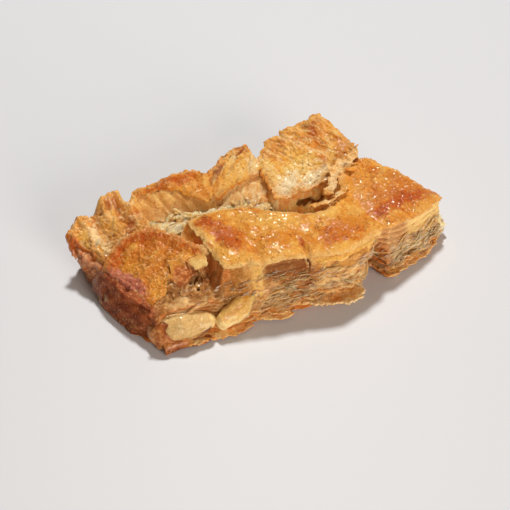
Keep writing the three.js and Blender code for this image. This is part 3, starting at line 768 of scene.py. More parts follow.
def paint(ob, colour, gloss):
    me = ob.data
    c = me.color_attributes.new("Tone", "FLOAT_COLOR", "POINT")
    rgba = np.ones((len(me.vertices), 4), np.float32)
    rgba[:, :3] = np.clip(colour, 0, 1)
    c.data.foreach_set("color", rgba.ravel())
    g = me.attributes.new("Gloss", "FLOAT", "POINT")
    g.data.foreach_set("value", np.clip(gloss, 0, 1).astype(np.float32))


def crust_colour(x, y, z):
    big, mid = fbm3(x, y, z, 12, 401, 3), fbm3(x, y, z, 4, 402, 3)
    small, grain = noise3(x, y, z, 1.6, 403), noise3(x, y, z, 0.85, 404)
    wx = x + 1.8 * noise3(x, y, z, 5, 405) + 0.8 * noise3(x, y, z, 2, 406)
    wy = y + 1.8 * noise3(x, y, z, 5, 407) + 0.8 * noise3(x, y, z, 2, 408)
    col = tint(np.tile(GOLD, (len(x), 1)), smooth(-0.1, 0.5, mid + 0.5 * big), GOLD_DEEP)
    col = tint(col, smooth(0.05, 0.6, -mid + 0.4 * small) * 0.7, GOLD_PALE)
    up = sample(ridged, x, y)
    wide = sample(broad_ridged, x, y)
    for cx, cy, a, b, turn, colour, s in CRUST_TONES:
        q = bump(wx, wy, cx, cy, a, b, turn)
        w = s * smooth(0.10, 0.80, q + (0.30 * small + 0.2 * grain + 0.16 * mid) * smooth(0.02, 0.4, q))
        col = tint(col, w, colour)
    fan = inside_poly(x, y, SQUARES["BM"][0])
    ray = noise3(0.16 * (0.78 * x + 0.63 * y), 1.0 * (0.63 * x - 0.78 * y), 0.1 * z, 1.6, 416)
    col = tint(col, smooth(-1, 1.5, fan) * smooth(-0.25, 0.45, ray + 0.3 * mid) * smooth(40, 35, y - 0.2 * x) * 0.7, lin(242, 202, 130))
    # pale streaks down the back square from its peak: partly its pale colour and partly painted glints
    peak = inside_poly(x, y, SQUARES["BP"][0])
    run = noise3(1.0 * (0.92 * x + 0.38 * y), 0.28 * (0.38 * x - 0.92 * y), 0.1 * z, 1.5, 417)
    col = tint(col, smooth(-1, 1.5, peak) * smooth(0.05, 0.6, run + 0.3 * mid) * 0.45, lin(255, 226, 168))
    # painted light on the ridges of the crust, stronger on the higher squares, and painted shade in its valleys
    level = smooth(0.3, 1.0, sample(crest, x, y) / 30)
    col = tint(col, smooth(0.12, 0.55, up) * 0.35 * level, lin(250, 206, 128))
    calm = 1 - 0.6 * smooth(-1, 2, np.maximum(inside_poly(x, y, SQUARES["BP"][0]), fan))
    col = tint(col, smooth(-0.10, -0.5, up) * 0.45 * calm, lin(190, 100, 30))
    col = tint(col, smooth(0.3, 1.2, wide) * 0.2 * calm, lin(206, 116, 36))
    # the left leaf paler in patches: partly its pale colour and partly painted highlights
    col = tint(col, smooth(-1, 1.5, inside_poly(x, y, SQUARES["LF"][0])) * 0.42 * smooth(-0.3, 0.5, mid + 0.5 * small), lin(252, 220, 158))
    col = col * (1 + 0.05 * small + 0.05 * grain)[:, None]
    return col, big, mid, small, grain


def side_colour(x, y, z, big, mid, small):
    """The baked left side: pinkish tan at the back, red-brown and lumpy in front."""
    side = blend(lin(214, 146, 104), lin(180, 100, 54), smooth(-0.2, 0.5, mid + 0.4 * small))
    side = tint(side, smooth(0.25, 0.6, noise3(x, y * 1.6, z * 0.4, 2.4, 415)) * 0.6, lin(238, 186, 138))
    front = blend(lin(136, 68, 42), lin(172, 94, 54), smooth(-0.3, 0.4, mid + 0.3 * small))
    side = side * (1 - smooth(11, 5, y)[:, None]) + front * smooth(11, 5, y)[:, None]
    return tint(side, smooth(9, 3, z + 3 * big) * 0.6, blend(lin(112, 54, 32), lin(156, 86, 46), smooth(-0.2, 0.5, small + mid)))


def recess_shade(x, y, z):
    """Where the front row steps back: the mask for the painted shade of that hollow."""
    return smooth(1.5, 1.0, np.sqrt(((x - 37.5) / 7) ** 2 + ((y + 37) / 8) ** 2 + ((z - 6) / 9) ** 2))


def colour_of(P, N, crusty):
    """Colour and gloss of the pastry at points P with outward directions N; the colour holds painted shade and painted
    light.
    """
    x, y, z = P.T
    s = nearest(closed_in, x, y, z)
    top = sample(crest, x, y)
    skin_col, big, mid, small, grain = crust_colour(x, y, z)
    if crusty:
        up = smooth(-0.15, 0.25, N[:, 2])
        edge_tone = blend(CREAM, AMBER, smooth(-0.3, 0.4, mid))
        col = edge_tone * (1 - up[:, None]) + skin_col * up[:, None]
        rim = inside_poly(x, y, SQUARES["FR"][0])
        near_rim = smooth(-4, -2, rim) * smooth(2.2, -0.6, rim + 1.2 * mid + 0.6 * small)
        col = tint(col, 0.75 * near_rim * smooth(-20, -28, y) * smooth(46, 40, x), lin(240, 198, 128))
        col = tint(col, 0.6 * near_rim * smooth(-24, -16, y) * smooth(40, 32, x), lin(242, 206, 140))
        rim = inside_poly(x, y, SQUARES["LF"][0])
        col = tint(col, 0.5 * smooth(-4, -2, rim) * smooth(2.5, 0.0, rim + 1.0 * mid) * smooth(30, 34, y) * smooth(-54, -58, x), GOLD_PALE)
        beyond = np.maximum(inside_poly(x, y, SQUARES["FL"][0]), inside_poly(x, y, SQUARES["LF"][0]))
        side = smooth(-0.5, -3.0, beyond + 1.2 * mid + 0.5 * small) * smooth(-64, -68, x)
        col = col * (1 - side[:, None]) + side_colour(x, y, z, big, mid, small) * side[:, None]
        rim = smooth(2.0, 0.5, np.abs(beyond + 0.5 + 1.0 * mid)) * smooth(-70, -75, x) * smooth(12, 16, y)
        col = tint(col, rim * 0.7, RED_BROWN)
        pinched = bump(x + 1.5 * mid, y + 1.5 * mid, -74.5, -8, 13, 3.8, 112)
        col = tint(col, 0.85 * smooth(0.25, 0.6, pinched + 0.12 * small), MAUVE * (1 + 0.25 * small)[:, None])
        shiny = np.clip(0.13 + 0.87 * smooth(40, 48, x) * smooth(4, -8, y) + 0.6 * smooth(-44, -50, x) + 0.5 * bump(x, y, 50, 26, 10, 16) + 0.3 * bump(x, y, -5, -10, 26, 6, -20)
                        - 0.3 * bump(x, y, -27, -14, 12, 6, 107), 0, 1)
        return col, shiny * (0.4 + 0.6 * up) + 0.15 * small
    share = z / np.maximum(sample(unit, x, y), 1)
    stripe = noise3(x * 0.2, y * 0.2, z, 1.0, 410) + 0.6 * noise3(x * 0.35, y * 0.35, z, 0.6, 411)
    col = blend(TAN, CREAM, smooth(-0.45, 0.25, stripe + 0.5 * mid))
    col = col * (1 - 0.8 * smooth(0.2, 0.9, stripe + 0.5 * small)[:, None]) + 0.8 * smooth(0.2, 0.9, stripe + 0.5 * small)[:, None] * CREAM_PALE
    front = smooth(-8, -18, y)
    sh = share + 0.03 * stripe + 0.03 * mid
    for x0, x1, s0, s1, colour, power in WALL_TONES_AND_SHADE:
        col = tint(col, power * front * band(x + 1.5 * mid, x0, x1, 2.5) * band(sh, s0, s1, 0.03), colour * (1 + 0.12 * stripe)[:, None])
    # painted shade where the dough is closed in, less of it in the furrow
    in_furrow = smooth(27, 23, top)
    col = tint(col, smooth(0.62, 0.82, s) * (0.5 - 0.35 * in_furrow), TAN_DEEP)
    # painted shade in the narrow gaps between sheets, and painted light on bits that stand out
    thin = nearest(closed_fine, x, y, z)
    col = tint(col, smooth(0.60, 0.78, thin) * (0.75 - 0.4 * smooth(42, 47, x)), lin(176, 104, 52))
    col = tint(col, smooth(0.44, 0.30, thin) * 0.5, lin(250, 208, 146))
    low = smooth(6.0, 2.0, z + 1.6 * mid)
    col = tint(col, low * 0.8, AMBER * (1 + 0.2 * stripe)[:, None])
    col = tint(col, low * smooth(3.0, 0.8, z) * 0.9, BROWN)
    torn = smooth(0, 2, inside_poly(x, y, TORN)) * smooth(5, 8, z)
    col = tint(col, torn * 0.85, blend(lin(150, 98, 50), lin(206, 158, 100), smooth(-0.3, 0.5, mid + 0.5 * small)))
    ledge = smooth(-66, -62, x) * smooth(-38, -42, x) * smooth(-25, -29, y) * band(z, 11.0, 18.0, 1.2)
    col = tint(col, ledge * 0.85, blend(lin(176, 122, 66), lin(224, 184, 128), smooth(-0.35, 0.4, stripe + 0.6 * mid)))
    # the left side of the front row, in the gap beside its neighbour: painted shade
    gap_shade = smooth(-32, -37, x) * band(y, -34, -6, 3) * smooth(0.6, 0.2, N[:, 2])
    col = tint(col, 0.85 * gap_shade, lin(212, 126, 64))
    # painted shade in the hollow where the front row steps back
    recess = recess_shade(x, y, z)
    col = tint(col, recess * 0.85, lin(196, 128, 74))
    # the torn floor of the furrow
    floor = smooth(25, 21, top) * smooth(-0.3, 0.3, N[:, 2]) * smooth(-15, -10, y) * smooth(42, 34, y)
    web = blend(lin(252, 216, 160), lin(255, 242, 208), smooth(-0.3, 0.4, mid + 0.4 * small))
    web = tint(web, smooth(0.0, -0.7, big) * 0.4, TAN)
    col = col * (1 - floor[:, None]) + web * floor[:, None]
    # the smooth browned faces of the back row
    face = smooth(36, 33, y) * smooth(10, 13, y) * smooth(-56, -52, x) * smooth(14, 10, x) * smooth(15.5, 18, z)
    tone = blend(lin(210, 154, 84), lin(240, 196, 124), smooth(-0.4, 0.5, mid + 0.5 * big))
    tone = tint(tone, smooth(24.5, 18.5, z + 2.5 * mid - 0.10 * (x + 40)) * smooth(-50, -42, x) * 0.85, blend(lin(236, 190, 124), WHITISH, smooth(-0.2, 0.4, mid + 0.4 * small)))
    tone = tint(tone, smooth(0.3, 0.7, noise3(0.45 * x + 0.3 * y, 1.3 * y - 0.9 * x, z, 2.2, 412)) * 0.35, CREAM)
    tone = tint(tone, smooth(-5, 1, x + 2 * mid) * smooth(19, 15, y) * 0.7, blend(CREAM, WHITISH, smooth(-0.1, 0.5, mid + 0.4 * small)))
    col = tint(col, face * 0.9, tone)
    # painted light round the hollow at the back, a paler colour where light finds its way through the thin dough
    lit = smooth(1.9, 1.0, np.sqrt(((x - 28.5) / 11.5) ** 2 + ((y - 8) / 8.5) ** 2 + ((z - 18.8) / 5.5) ** 2))
    col = tint(col, lit * 0.9, blend(lin(248, 184, 112), lin(255, 224, 166), smooth(-0.3, 0.4, mid + 0.5 * small)))
    # baked left side
    beyond = np.maximum(inside_poly(x, y, SQUARES["FL"][0]), inside_poly(x, y, SQUARES["LF"][0]))
    left = np.maximum(smooth(-68, -77, x + 1.5 * mid) * smooth(0.8, 0.3, N[:, 2]), smooth(0.5, -0.3, beyond) * smooth(-62, -68, x - 0.5 * (y + 20) * (y < -20) + mid) * smooth(5, 9, z))
    lower = smooth(15, 9, z + 3 * big)
    side = side_colour(x, y, z, big, mid, small)
    col = col * (1 - left[:, None]) + side * left[:, None]
    under = smooth(-0.5, -0.9, N[:, 2]) * smooth(1.5, 0.3, z)
    col = tint(col, under, BROWN)
    return col * (1 + 0.06 * grain)[:, None], 0.3 + 0.35 * left + 0.3 * face + 0.2 * mid


def blend(a, b, t):
    t = np.asarray(t)[:, None]
    return a * (1 - t) + b * t


# ---------------------------------------------------------------- materials
def pastry_material(name, sss=0.3, rough=(0.62, 0.3), bump=0.35, coat=0.0, fine=1.0, deep=0.0028, painted_glints=0.34):
    m = bpy.data.materials.new(name)
    m.use_nodes = True
    nt = m.node_tree
    n, l = nt.nodes, nt.links
    n.clear()
    out = n.new("ShaderNodeOutputMaterial")
    b = n.new("ShaderNodeBsdfPrincipled")
    l.new(b.outputs[0], out.inputs[0])
    tone = n.new("ShaderNodeAttribute"); tone.attribute_name = "Tone"
    gloss = n.new("ShaderNodeAttribute"); gloss.attribute_name = "Gloss"
    tc = n.new("ShaderNodeTexCoord")
    speck = n.new("ShaderNodeTexNoise"); speck.inputs["Scale"].default_value = 1250 * fine
    speck.inputs["Detail"].default_value = 4; speck.inputs["Roughness"].default_value = 0.65
    l.new(tc.outputs["Object"], speck.inputs["Vector"])
    ramp = n.new("ShaderNodeMapRange")
    ramp.inputs["From Min"].default_value = 0.3; ramp.inputs["From Max"].default_value = 0.7
    ramp.inputs["To Min"].default_value = 0.74; ramp.inputs["To Max"].default_value = 1.20
    l.new(speck.outputs["Fac"], ramp.inputs["Value"])
    mix = n.new("ShaderNodeVectorMath"); mix.operation = "SCALE"
    l.new(tone.outputs["Color"], mix.inputs[0]); l.new(ramp.outputs[0], mix.inputs["Scale"])
    # painted glints: pale specks mixed into the base colour where a fine noise peaks, standing in for sparkles of light
    # on the crust
    glint_noise = n.new("ShaderNodeTexNoise"); glint_noise.inputs["Scale"].default_value = 900 * fine
    glint_noise.inputs["Detail"].default_value = 1.0
    l.new(tc.outputs["Object"], glint_noise.inputs["Vector"])
    glint_specks = n.new("ShaderNodeMapRange")
    glint_specks.inputs["From Min"].default_value = 0.60; glint_specks.inputs["From Max"].default_value = 0.72
    glint_specks.inputs["To Min"].default_value = 0.0; glint_specks.inputs["To Max"].default_value = painted_glints
    l.new(glint_noise.outputs["Fac"], glint_specks.inputs["Value"])
    pale = n.new("ShaderNodeMix"); pale.data_type = "RGBA"
    l.new(glint_specks.outputs[0], pale.inputs[0])
    l.new(mix.outputs[0], pale.inputs[6])
    pale.inputs[7].default_value = (1.0, 0.64, 0.30, 1)
    l.new(pale.outputs[2], b.inputs["Base Color"])
    rr = n.new("ShaderNodeMapRange")
    rr.inputs["To Min"].default_value = rough[0]; rr.inputs["To Max"].default_value = rough[1]
    l.new(gloss.outputs["Fac"], rr.inputs["Value"])
    l.new(rr.outputs[0], b.inputs["Roughness"])
    grain = n.new("ShaderNodeTexNoise"); grain.inputs["Scale"].default_value = 700 * fine
    grain.inputs["Detail"].default_value = 3; grain.inputs["Roughness"].default_value = 0.6
    l.new(tc.outputs["Object"], grain.inputs["Vector"])
    bm = n.new("ShaderNodeBump"); bm.inputs["Strength"].default_value = bump
    bm.inputs["Distance"].default_value = 0.001
    l.new(grain.outputs["Fac"], bm.inputs["Height"])
    l.new(bm.outputs[0], b.inputs["Normal"])
    film = n.new("ShaderNodeTexNoise"); film.inputs["Scale"].default_value = 540 * fine
    film.inputs["Detail"].default_value = 1.5
    l.new(tc.outputs["Object"], film.inputs["Vector"])
    fb = n.new("ShaderNodeBump"); fb.inputs["Strength"].default_value = 0.18
    fb.inputs["Distance"].default_value = 0.0008
    l.new(film.outputs["Fac"], fb.inputs["Height"])
    l.new(fb.outputs[0], b.inputs["Coat Normal"])
    b.inputs["Subsurface Weight"].default_value = sss
    b.inputs["Subsurface Radius"].default_value = (0.88, 1.0, 1.0)
    b.inputs["Subsurface Scale"].default_value = deep
    b.inputs["IOR"].default_value = 1.46
    b.inputs["Specular IOR Level"].default_value = 0.06
    cw = n.new("ShaderNodeMapRange")
    cw.inputs["To Min"].default_value = 0.3 * coat; cw.inputs["To Max"].default_value = 1.5 * coat
    l.new(gloss.outputs["Fac"], cw.inputs["Value"])
    l.new(cw.outputs[0], b.inputs["Coat Weight"])
    b.inputs["Coat Roughness"].default_value = 0.08
    return m


# ---------------------------------------------------------------- sheets, folds and flakes
def outline_ring(z, count):
    """Points evenly round the slab at a height, with outward directions."""
    a = max(i for i in range(len(LEVELS)) if LEVELS[i] <= min(z, 29.9))
    t = min((z - LEVELS[a]) / (LEVELS[a + 1] - LEVELS[a]), 1.1)
    pts = np.array([np.array(p[a]) * (1 - t) + np.array(p[a + 1]) * t for p in OUTLINE])
    loop = np.vstack([pts, pts[:1]])
    step = np.hypot(*np.diff(loop, axis=0).T)
    far = np.r_[0, np.cumsum(step)]
    want = np.linspace(0, far[-1], count, endpoint=False)
    ring = np.c_[np.interp(want, far, loop[:, 0]), np.interp(want, far, loop[:, 1])]
    for _ in range(3):
        ring = (np.roll(ring, 1, 0) + 2 * ring + np.roll(ring, -1, 0)) / 4
    tan = np.roll(ring, -2, 0) - np.roll(ring, 2, 0)
    out = np.c_[tan[:, 1], -tan[:, 0]]
    return ring, out / np.linalg.norm(out, axis=1)[:, None]


def ring_sheets(name, shares, rows=5, count=600, seed=500):
    """Thin torn sheets that stand out of the cut walls, each a closed strip all round."""
    V, Fc, tone = [], [], []
    base = 0
    for n, share in enumerate(shares):
        z_here = share * 29
        ring, out = outline_ring(z_here, count)
        inner = ring - out * 4.5
        u = sample(unit, inner[:, 0], inner[:, 1])
        soft = np.clip(sum(soft_faces(ring[:, 0], ring[:, 1], np.full(count, share))), 0, 1)
        bk = smooth(-68, -76, ring[:, 0])
        x, y = ring.T
        big = noise2(x, y, 13, seed + n) + 0.4 * noise2(x, y, 6, seed + 20 + n)
        tear = np.floor(2.2 * (noise2(x, y, 7, seed + 40 + n) + 0.3 * noise2(x, y, 2.5, seed + 50 + n))) / 2.2
        reach = 0.1 + 1.5 * big + 1.1 * tear + 0.45 * noise2(x, y, 1.6, seed + 60 + n)
        reach = reach * (1 - 0.5 * smooth(0.2, 0.4, share))
        reach = np.clip(reach, -3.0, 3.0) * (1 - bk) - 3.0 * bk - 3.2 * soft
        reach = reach - 2.0 * band(x, -8, 26, 2) * smooth(-34, -40, y) * smooth(0.26, 0.16, share)
        reach = reach - 5.0 * band(x, -73, -46, 2) * smooth(-18, -24, y) * smooth(14, 11, share * 29)
        curl = 1.5 * noise2(x, y, 11, seed + 80 + n) - 0.3
        for side in (1, -1):
            for r in range(rows + 1):
                t = r / rows
                off = -4.5 + (reach + 4.5) * t
                px, py = x + out[:, 0] * off, y + out[:, 1] * off
                z = share * u + 1.5 * noise2(px, py, 17, 71) + 0.9 * noise2(px, py, 5, seed + 100 + n)
                z = z + 0.28 * noise2(px, py, 2.1, seed + 120 + n) + curl * t * t
                thick = 0.30 * (1 - 0.55 * t) if r < rows else 0.07
                V.append(np.c_[px, py, np.maximum(z + side * thick, 0.12)])
        i = np.arange(count)
        j = (i + 1) % count
        R = (rows + 1) * count
        for r in range(rows):
            a, b = base + r * count, base + (r + 1) * count
            Fc.append(np.c_[a + i, b + i, b + j, a + j])                      # upper side
            Fc.append(np.c_[a + R + i, a + R + j, b + R + j, b + R + i])      # lower side
        a = base + rows * count
        Fc.append(np.c_[a + i, a + R + i, a + R + j, a + j])
        Fc.append(np.c_[base + i, base + j, base + R + j, base + R + i])
        tone.append(np.full(2 * R, share))
        base += 2 * R
    ob = make_mesh(name, np.concatenate(V), np.concatenate(Fc))
    return ob, np.concatenate(tone)


def n3(X, Y, Z, size, seed):
    return noise3(X, Y, Z, size, seed)


def leaf(Z, surface, thick, mask, steep=0.8):
    return np.minimum((thick / 2 - np.abs(Z - surface)) * steep, mask)


def smooth_max(a, b, k):
    h = np.clip(0.5 + 0.5 * (a - b) / k, 0, 1)
    return b * (1 - h) + a * h + k * h * (1 - h)


def membranes(gx, gy, gz):
    """Torn sheets at the front left, one below the other like shingles."""
    p, q = np.meshgrid(gx, gy, indexing="ij")
    Z = gz[None, None, :]
    rag = 0.8 * noise2(p, q, 3.5, 601) + 0.35 * noise2(p, q, 1.5, 602)
    wav = 0.6 * noise2(p, q, 7, 603) + 0.25 * noise2(p, q, 2.8, 604)
    slope = torn_slope(p, q)

    def one(surface, pts, thick, holes=(), seed=0, steep=0.8):
        mask = inside_poly(p, q, pts) + rag
        for at, size, turn in holes:
            mask = np.minimum(mask, -oval(p, q, at, size, turn) + 0.3 * noise2(p, q, 1.7, seed))
        return leaf(Z, (surface + wav)[:, :, None], thick, mask[:, :, None], steep)

    # the lowest sheet, smooth, hanging over the fold below it
    d = inside_poly(p, q, [(-70, -27), (-64, -23), (-56, -22), (-45, -25), (-43.5, -30), (-45, -34), (-50, -34.3), (-57, -35.2), (-62, -34.3), (-68.5, -33)])
    hem = 0.9 * smooth(2.2, 0, d) * smooth(-26, -31, q)
    c = one(slope + 0.1 + hem - 0.3 * noise2(p, q, 2.8, 604), [(-70, -27), (-64, -23), (-56, -22), (-45, -25), (-43.5, -30), (-45, -34), (-50, -34.3), (-57, -35.2), (-62, -34.3), (-68.5, -33)], 0.95,
            [((-60, -28.2), (2.6, 1.1), 10), ((-50, -26.6), (6.0, 0.85), -14)], 614)
    # pale webbing above it
    hole = noise2(p, q, 3.6, 612) + 0.5 * noise2(p, q, 1.7, 613)
    b = one(slope + 0.9 + 0.6 * noise2(p, q, 3, 616), [(-62, -17), (-44, -17), (-42, -26), (-48, -29), (-60, -27)], 0.8)
    b = np.minimum(b, (0.28 - hole)[:, :, None] * 2.2)
    # a browned see-through leaf at the top, and the curled pale tip of the crust
    a = one(slope + 0.7, [(-56, -12), (-46, -14), (-46, -18), (-52, -24.5), (-58, -20)], 0.8)
    tip = one(25.2 + 0.25 * (p + 44) + 0.15 * (q + 20) + 0.8 * smooth(-21, -23.5, q), [(-49, -15), (-42, -16), (-39.5, -19), (-41, -22.5), (-47, -21.5)], 1.5)
    f = np.maximum(np.maximum(a, b), np.maximum(c, tip))
    X, Y = p[:, :, None], q[:, :, None]
    for (x0, y0, z0), (x1, y1, z1), r in (((-48, -17, 24), (-52, -28, 16.5), 0.40), ((-54, -18, 21), (-57, -27, 16), 0.5), ((-45, -21, 23), (-46.5, -28, 17), 0.4),
                                         ((-51, -19, 22), (-46, -27, 17.5), 0.35)):
        dx, dy, dz = x1 - x0, y1 - y0, z1 - z0
        t = np.clip(((X - x0) * dx + (Y - y0) * dy + (Z - z0) * dz) / (dx * dx + dy * dy + dz * dz), 0, 1)
        bow = np.sin(t * math.pi) * 1.2
        f = np.maximum(f, r + 0.5 * (1 - 4 * t * (1 - t)) - np.sqrt((X - x0 - t * dx - bow) ** 2 + (Y - y0 - t * dy) ** 2 + (Z - z0 - t * dz) ** 2))
    return f


def capsule(X, Y, Z, a, b, ry, rz, taper=(1.0, 1.0)):
    """A soft rounded roll from a to b, narrowing to each end by its taper."""
    a, b = np.array(a, float), np.array(b, float)
    d = b - a
    t = np.clip(((X - a[0]) * d[0] + (Y - a[1]) * d[1] + (Z - a[2]) * d[2]) / (d @ d), 0, 1)
    dx, dy, dz = X - a[0] - t * d[0], Y - a[1] - t * d[1], Z - a[2] - t * d[2]
    fat = taper[0] + (1 - taper[0]) * smooth(0, 0.45, t)
    fat = fat * (taper[1] + (1 - taper[1]) * smooth(1, 0.5, t))
    return (fat - np.sqrt((dx / ry) ** 2 + (dy / ry) ** 2 + (dz / rz) ** 2)) * min(ry, rz), t, dy, dz


def dough_folds(gx, gy, gz):
    """Two smooth pale folds of dough at the foot of the front left."""
    X, Y, Z = np.meshgrid(gx, gy, gz, indexing="ij")
    n = 0.75 * noise3(X, Y, Z, 7, 621) + 0.32 * noise3(X, Y, Z, 2.8, 622) + 0.12 * noise3(X, Y, Z, 1.4, 623)
    f1, t, dy, dz = capsule(X, Y, Z, (-68, -32.2, 6.0), (-50.0, -37.0, 6.8), 7.1, 7.2, (1.0, 0.66))
    f1 = f1 + n - 1.3 * np.exp(-(((dz + 2.2 - 0.12 * (X + 60)) / 0.5) ** 2)) * smooth(0.15, 0.6, t) * smooth(-1, -3, dy)
    f1 = f1 - 1.0 * np.exp(-(((dz - 1.4 + 0.14 * (X + 58)) / 0.6) ** 2)) * smooth(0.45, 0.9, t) * smooth(-1, -3, dy)
    for (hx, hy, hz), r in (((-52.0, -42.4, 3.2), 1.3), ((-55.5, -42.6, 2.2), 0.9), ((-49.8, -41.6, 4.2), 0.9)):
        f1 = np.minimum(f1, np.sqrt((X - hx) ** 2 / 2.2 + (Y - hy) ** 2 / 2 + (Z - hz) ** 2) - r)
    f2, t2, dy2, dz2 = capsule(X, Y, Z, (-26.0, -37.0, 12.2), (-43.0, -40.0, 5.8), 4.2, 7.0, (0.42, 0.74))
    f2 = f2 - 1.3 * np.exp(-(((dz2 + 1.6 - 1.0 * t2) / 0.5) ** 2)) * smooth(0.25, 0.6, t2) * smooth(0, -1.5, dy2) + 0.7 * n
    return np.minimum(np.maximum(f1, f2), Z - 0.15)


def rolled_end(gx, gy, gz):
    """Browned crust that wraps the end of the lower fold, its leaves curling at the foot."""
    X, Y, Z = np.meshgrid(gx, gy, gz, indexing="ij")
    n = 0.5 * noise3(X, Y, Z, 4.5, 631) + 0.22 * noise3(X, Y, Z, 1.8, 632)
    f0, t, dy, dz = capsule(X, Y, Z, (-68.5, -32.4, 5.6), (-51.0, -37.4, 6.3), 7.4, 7.2)
    rim = -67.6 + 1.6 * np.sin(0.5 * Z) + 1.6 * n
    cap = np.minimum(f0 + 0.6 * n, (rim - X) * 0.8)
    out = np.full(X.shape, -9.0)
    r = np.hypot((Y + 38.2) / 1.25, Z - 1.9)
    a = np.arctan2(Z - 1.9, -(Y + 38.2))
    for k, (rad, x0, x1) in enumerate(((3.0, -72, -61.0), (1.9, -71, -62.5), (0.9, -71, -62.0))):
        shell = 0.38 - np.abs(r - rad - 0.25 * np.sin(2.1 * a + k + 0.3 * X) + 0.3 * n)
        shell = np.minimum(shell, np.minimum(X - x0, x1 + 1.5 * n - X))
        out = np.maximum(out, np.minimum(shell, 2.6 - np.abs(a - 0.6)) if k == 0 else shell)
    sheet = np.minimum(0.45 - np.abs(Z - 0.8 - 0.4 * noise2(X, Y, 4, 633)), np.minimum(oval(X, Y, (-61, -38.6), (13, 3.6), -14) + 0.8 * n, 5))
    return np.minimum(np.maximum(np.maximum(cap, out), sheet), Z - 0.1)


def bottom_flakes(gx, gy, gz):
    """Crisp leaves of bottom crust that stand out under the front wall."""
    X, Y, Z = np.meshgrid(gx, gy, gz, indexing="ij")
    p, q = X[:, :, 0], Y[:, :, 0]
    rag = 0.8 * noise2(p, q, 3.0, 641) + 0.5 * noise2(p, q, 1.2, 642)
    wav = 0.5 * noise2(p, q, 7, 643) + 0.3 * noise2(p, q, 2.2, 644)
    leaves = [
        (3.6 + 0.02 * p - 0.12 * (q + 50), [(-6, -38), (-4, -43.5), (4, -49.5), (14, -55.0), (21, -53.5), (25, -50), (26, -40)], 1.3),
        (2.2 + 0.02 * p, [(-8, -38), (-6, -42.5), (3, -47.5), (12, -51.0), (20, -50.5), (25, -47), (26, -38)], 0.7),
        (7.6 + 0.03 * p, [(-9, -36), (-8, -41.5), (4, -45.5), (14, -48.0), (23, -48.0), (27, -45), (27, -36)], 0.6),
        (1.6 + 0.05 * (q + 44), [(-30, -36), (-27, -42), (-20, -45.5), (-14, -47.5), (-10, -45.5), (-10, -36)], 0.9),
        (3.4 + 0.03 * (q + 44), [(-22, -36), (-21, -42.5), (-17, -45.5), (-12, -46), (-10, -42), (-10, -36)], 0.6),
        (1.0 + 0.0 * p, [(-50, -36), (-50, -43.5), (-40, -46), (-30, -44), (-27, -36)], 0.8),
        (1.1 + 0.0 * p, [(-68, -34), (-66, -41.5), (-56, -43.5), (-48, -42), (-48, -34)], 0.8),
        (3.0 - 0.35 * (p - 38), [(36, -30), (37, -36), (41, -46), (47, -44), (47, -32)], 0.9),
        (7.0 - 0.35 * (p - 38), [(35, -30), (38, -36), (42, -43.5), (47, -43), (47, -32)], 0.6),
        (1.2 + 0.0 * p, [(40, -36), (41, -45.5), (54, -43), (69, -39), (80, -31), (84, -26), (78, -22), (60, -30)], 0.9),
        (4.2 + 0.02 * (p - 60), [(44, -36), (45, -43), (55, -41.5), (68, -37.6), (79, -31.5), (84, -27), (78, -22), (60, -30)], 0.7),
    ]
    f = np.full(X.shape, -9.0)
    for surface, pts, thick in leaves:
        mask = inside_poly(p, q, pts) + rag
        f = np.maximum(f, leaf(Z, (np.maximum(surface + wav, thick / 2 + 0.1))[:, :, None], thick, mask[:, :, None]))
    return f


def furrow_web(gx, gy, gz):
    """Torn pale dough across the furrow, with holes and threads."""
    X, Y, Z = np.meshgrid(gx, gy, gz, indexing="ij")
    p, q = X[:, :, 0], Y[:, :, 0]
    area_in = inside_poly(p, q, [(-55, 22), (-53, 10), (-40, -2), (-37, 6), (-20, 8), (-8, 1), (4, -6), (14, -10), (12, 8), (-4, 17), (-20, 16), (-33, 21), (-46, 27)])
    f = np.full(X.shape, -9.0)
    floor = sample(floor_z, p, q)
    for k, (lift, cut, thick) in enumerate(((1.0, 0.42, 1.0), (2.2, 0.05, 0.8))):
        surface = floor + lift + 1.0 * noise2(p, q, 7, 651 + k) + 0.4 * noise2(p, q, 2.6, 655 + k)
        hole = noise2(p, q, 6.0, 661 + k) + 0.4 * noise2(p, q, 2.4, 665 + k)
        mask = np.minimum(area_in + 1.5, (0.25 + cut - hole) * 2.2)
        f = np.maximum(f, leaf(Z, surface[:, :, None], thick, mask[:, :, None]))
    for k in range(30):       # torn strings across it
        g = np.random.default_rng(2000 + k)
        ax, ay = g.uniform(-50, 6), 0
        ay = np.interp(ax, [-50, -36, 6], [16, 14, 6]) + g.uniform(-5, 7)
        turn, long, r = g.uniform(0, math.pi), g.uniform(4, 9), g.uniform(0.28, 0.45)
        bx, by = ax + long * math.cos(turn), ay + long * math.sin(turn)
        t, off = along(p, q, (ax, ay), (bx, by))
        off = off + 0.6 * np.sin(t * 5 + k) * 0.5
        zc = floor + 2.6 + 1.8 * np.sin(t * math.pi)
        f = np.maximum(f, r * (0.6 + 0.6 * np.sin(t * math.pi))[:, :, None] - np.sqrt(off[:, :, None] ** 2 + (Z - zc[:, :, None]) ** 2))
    return f


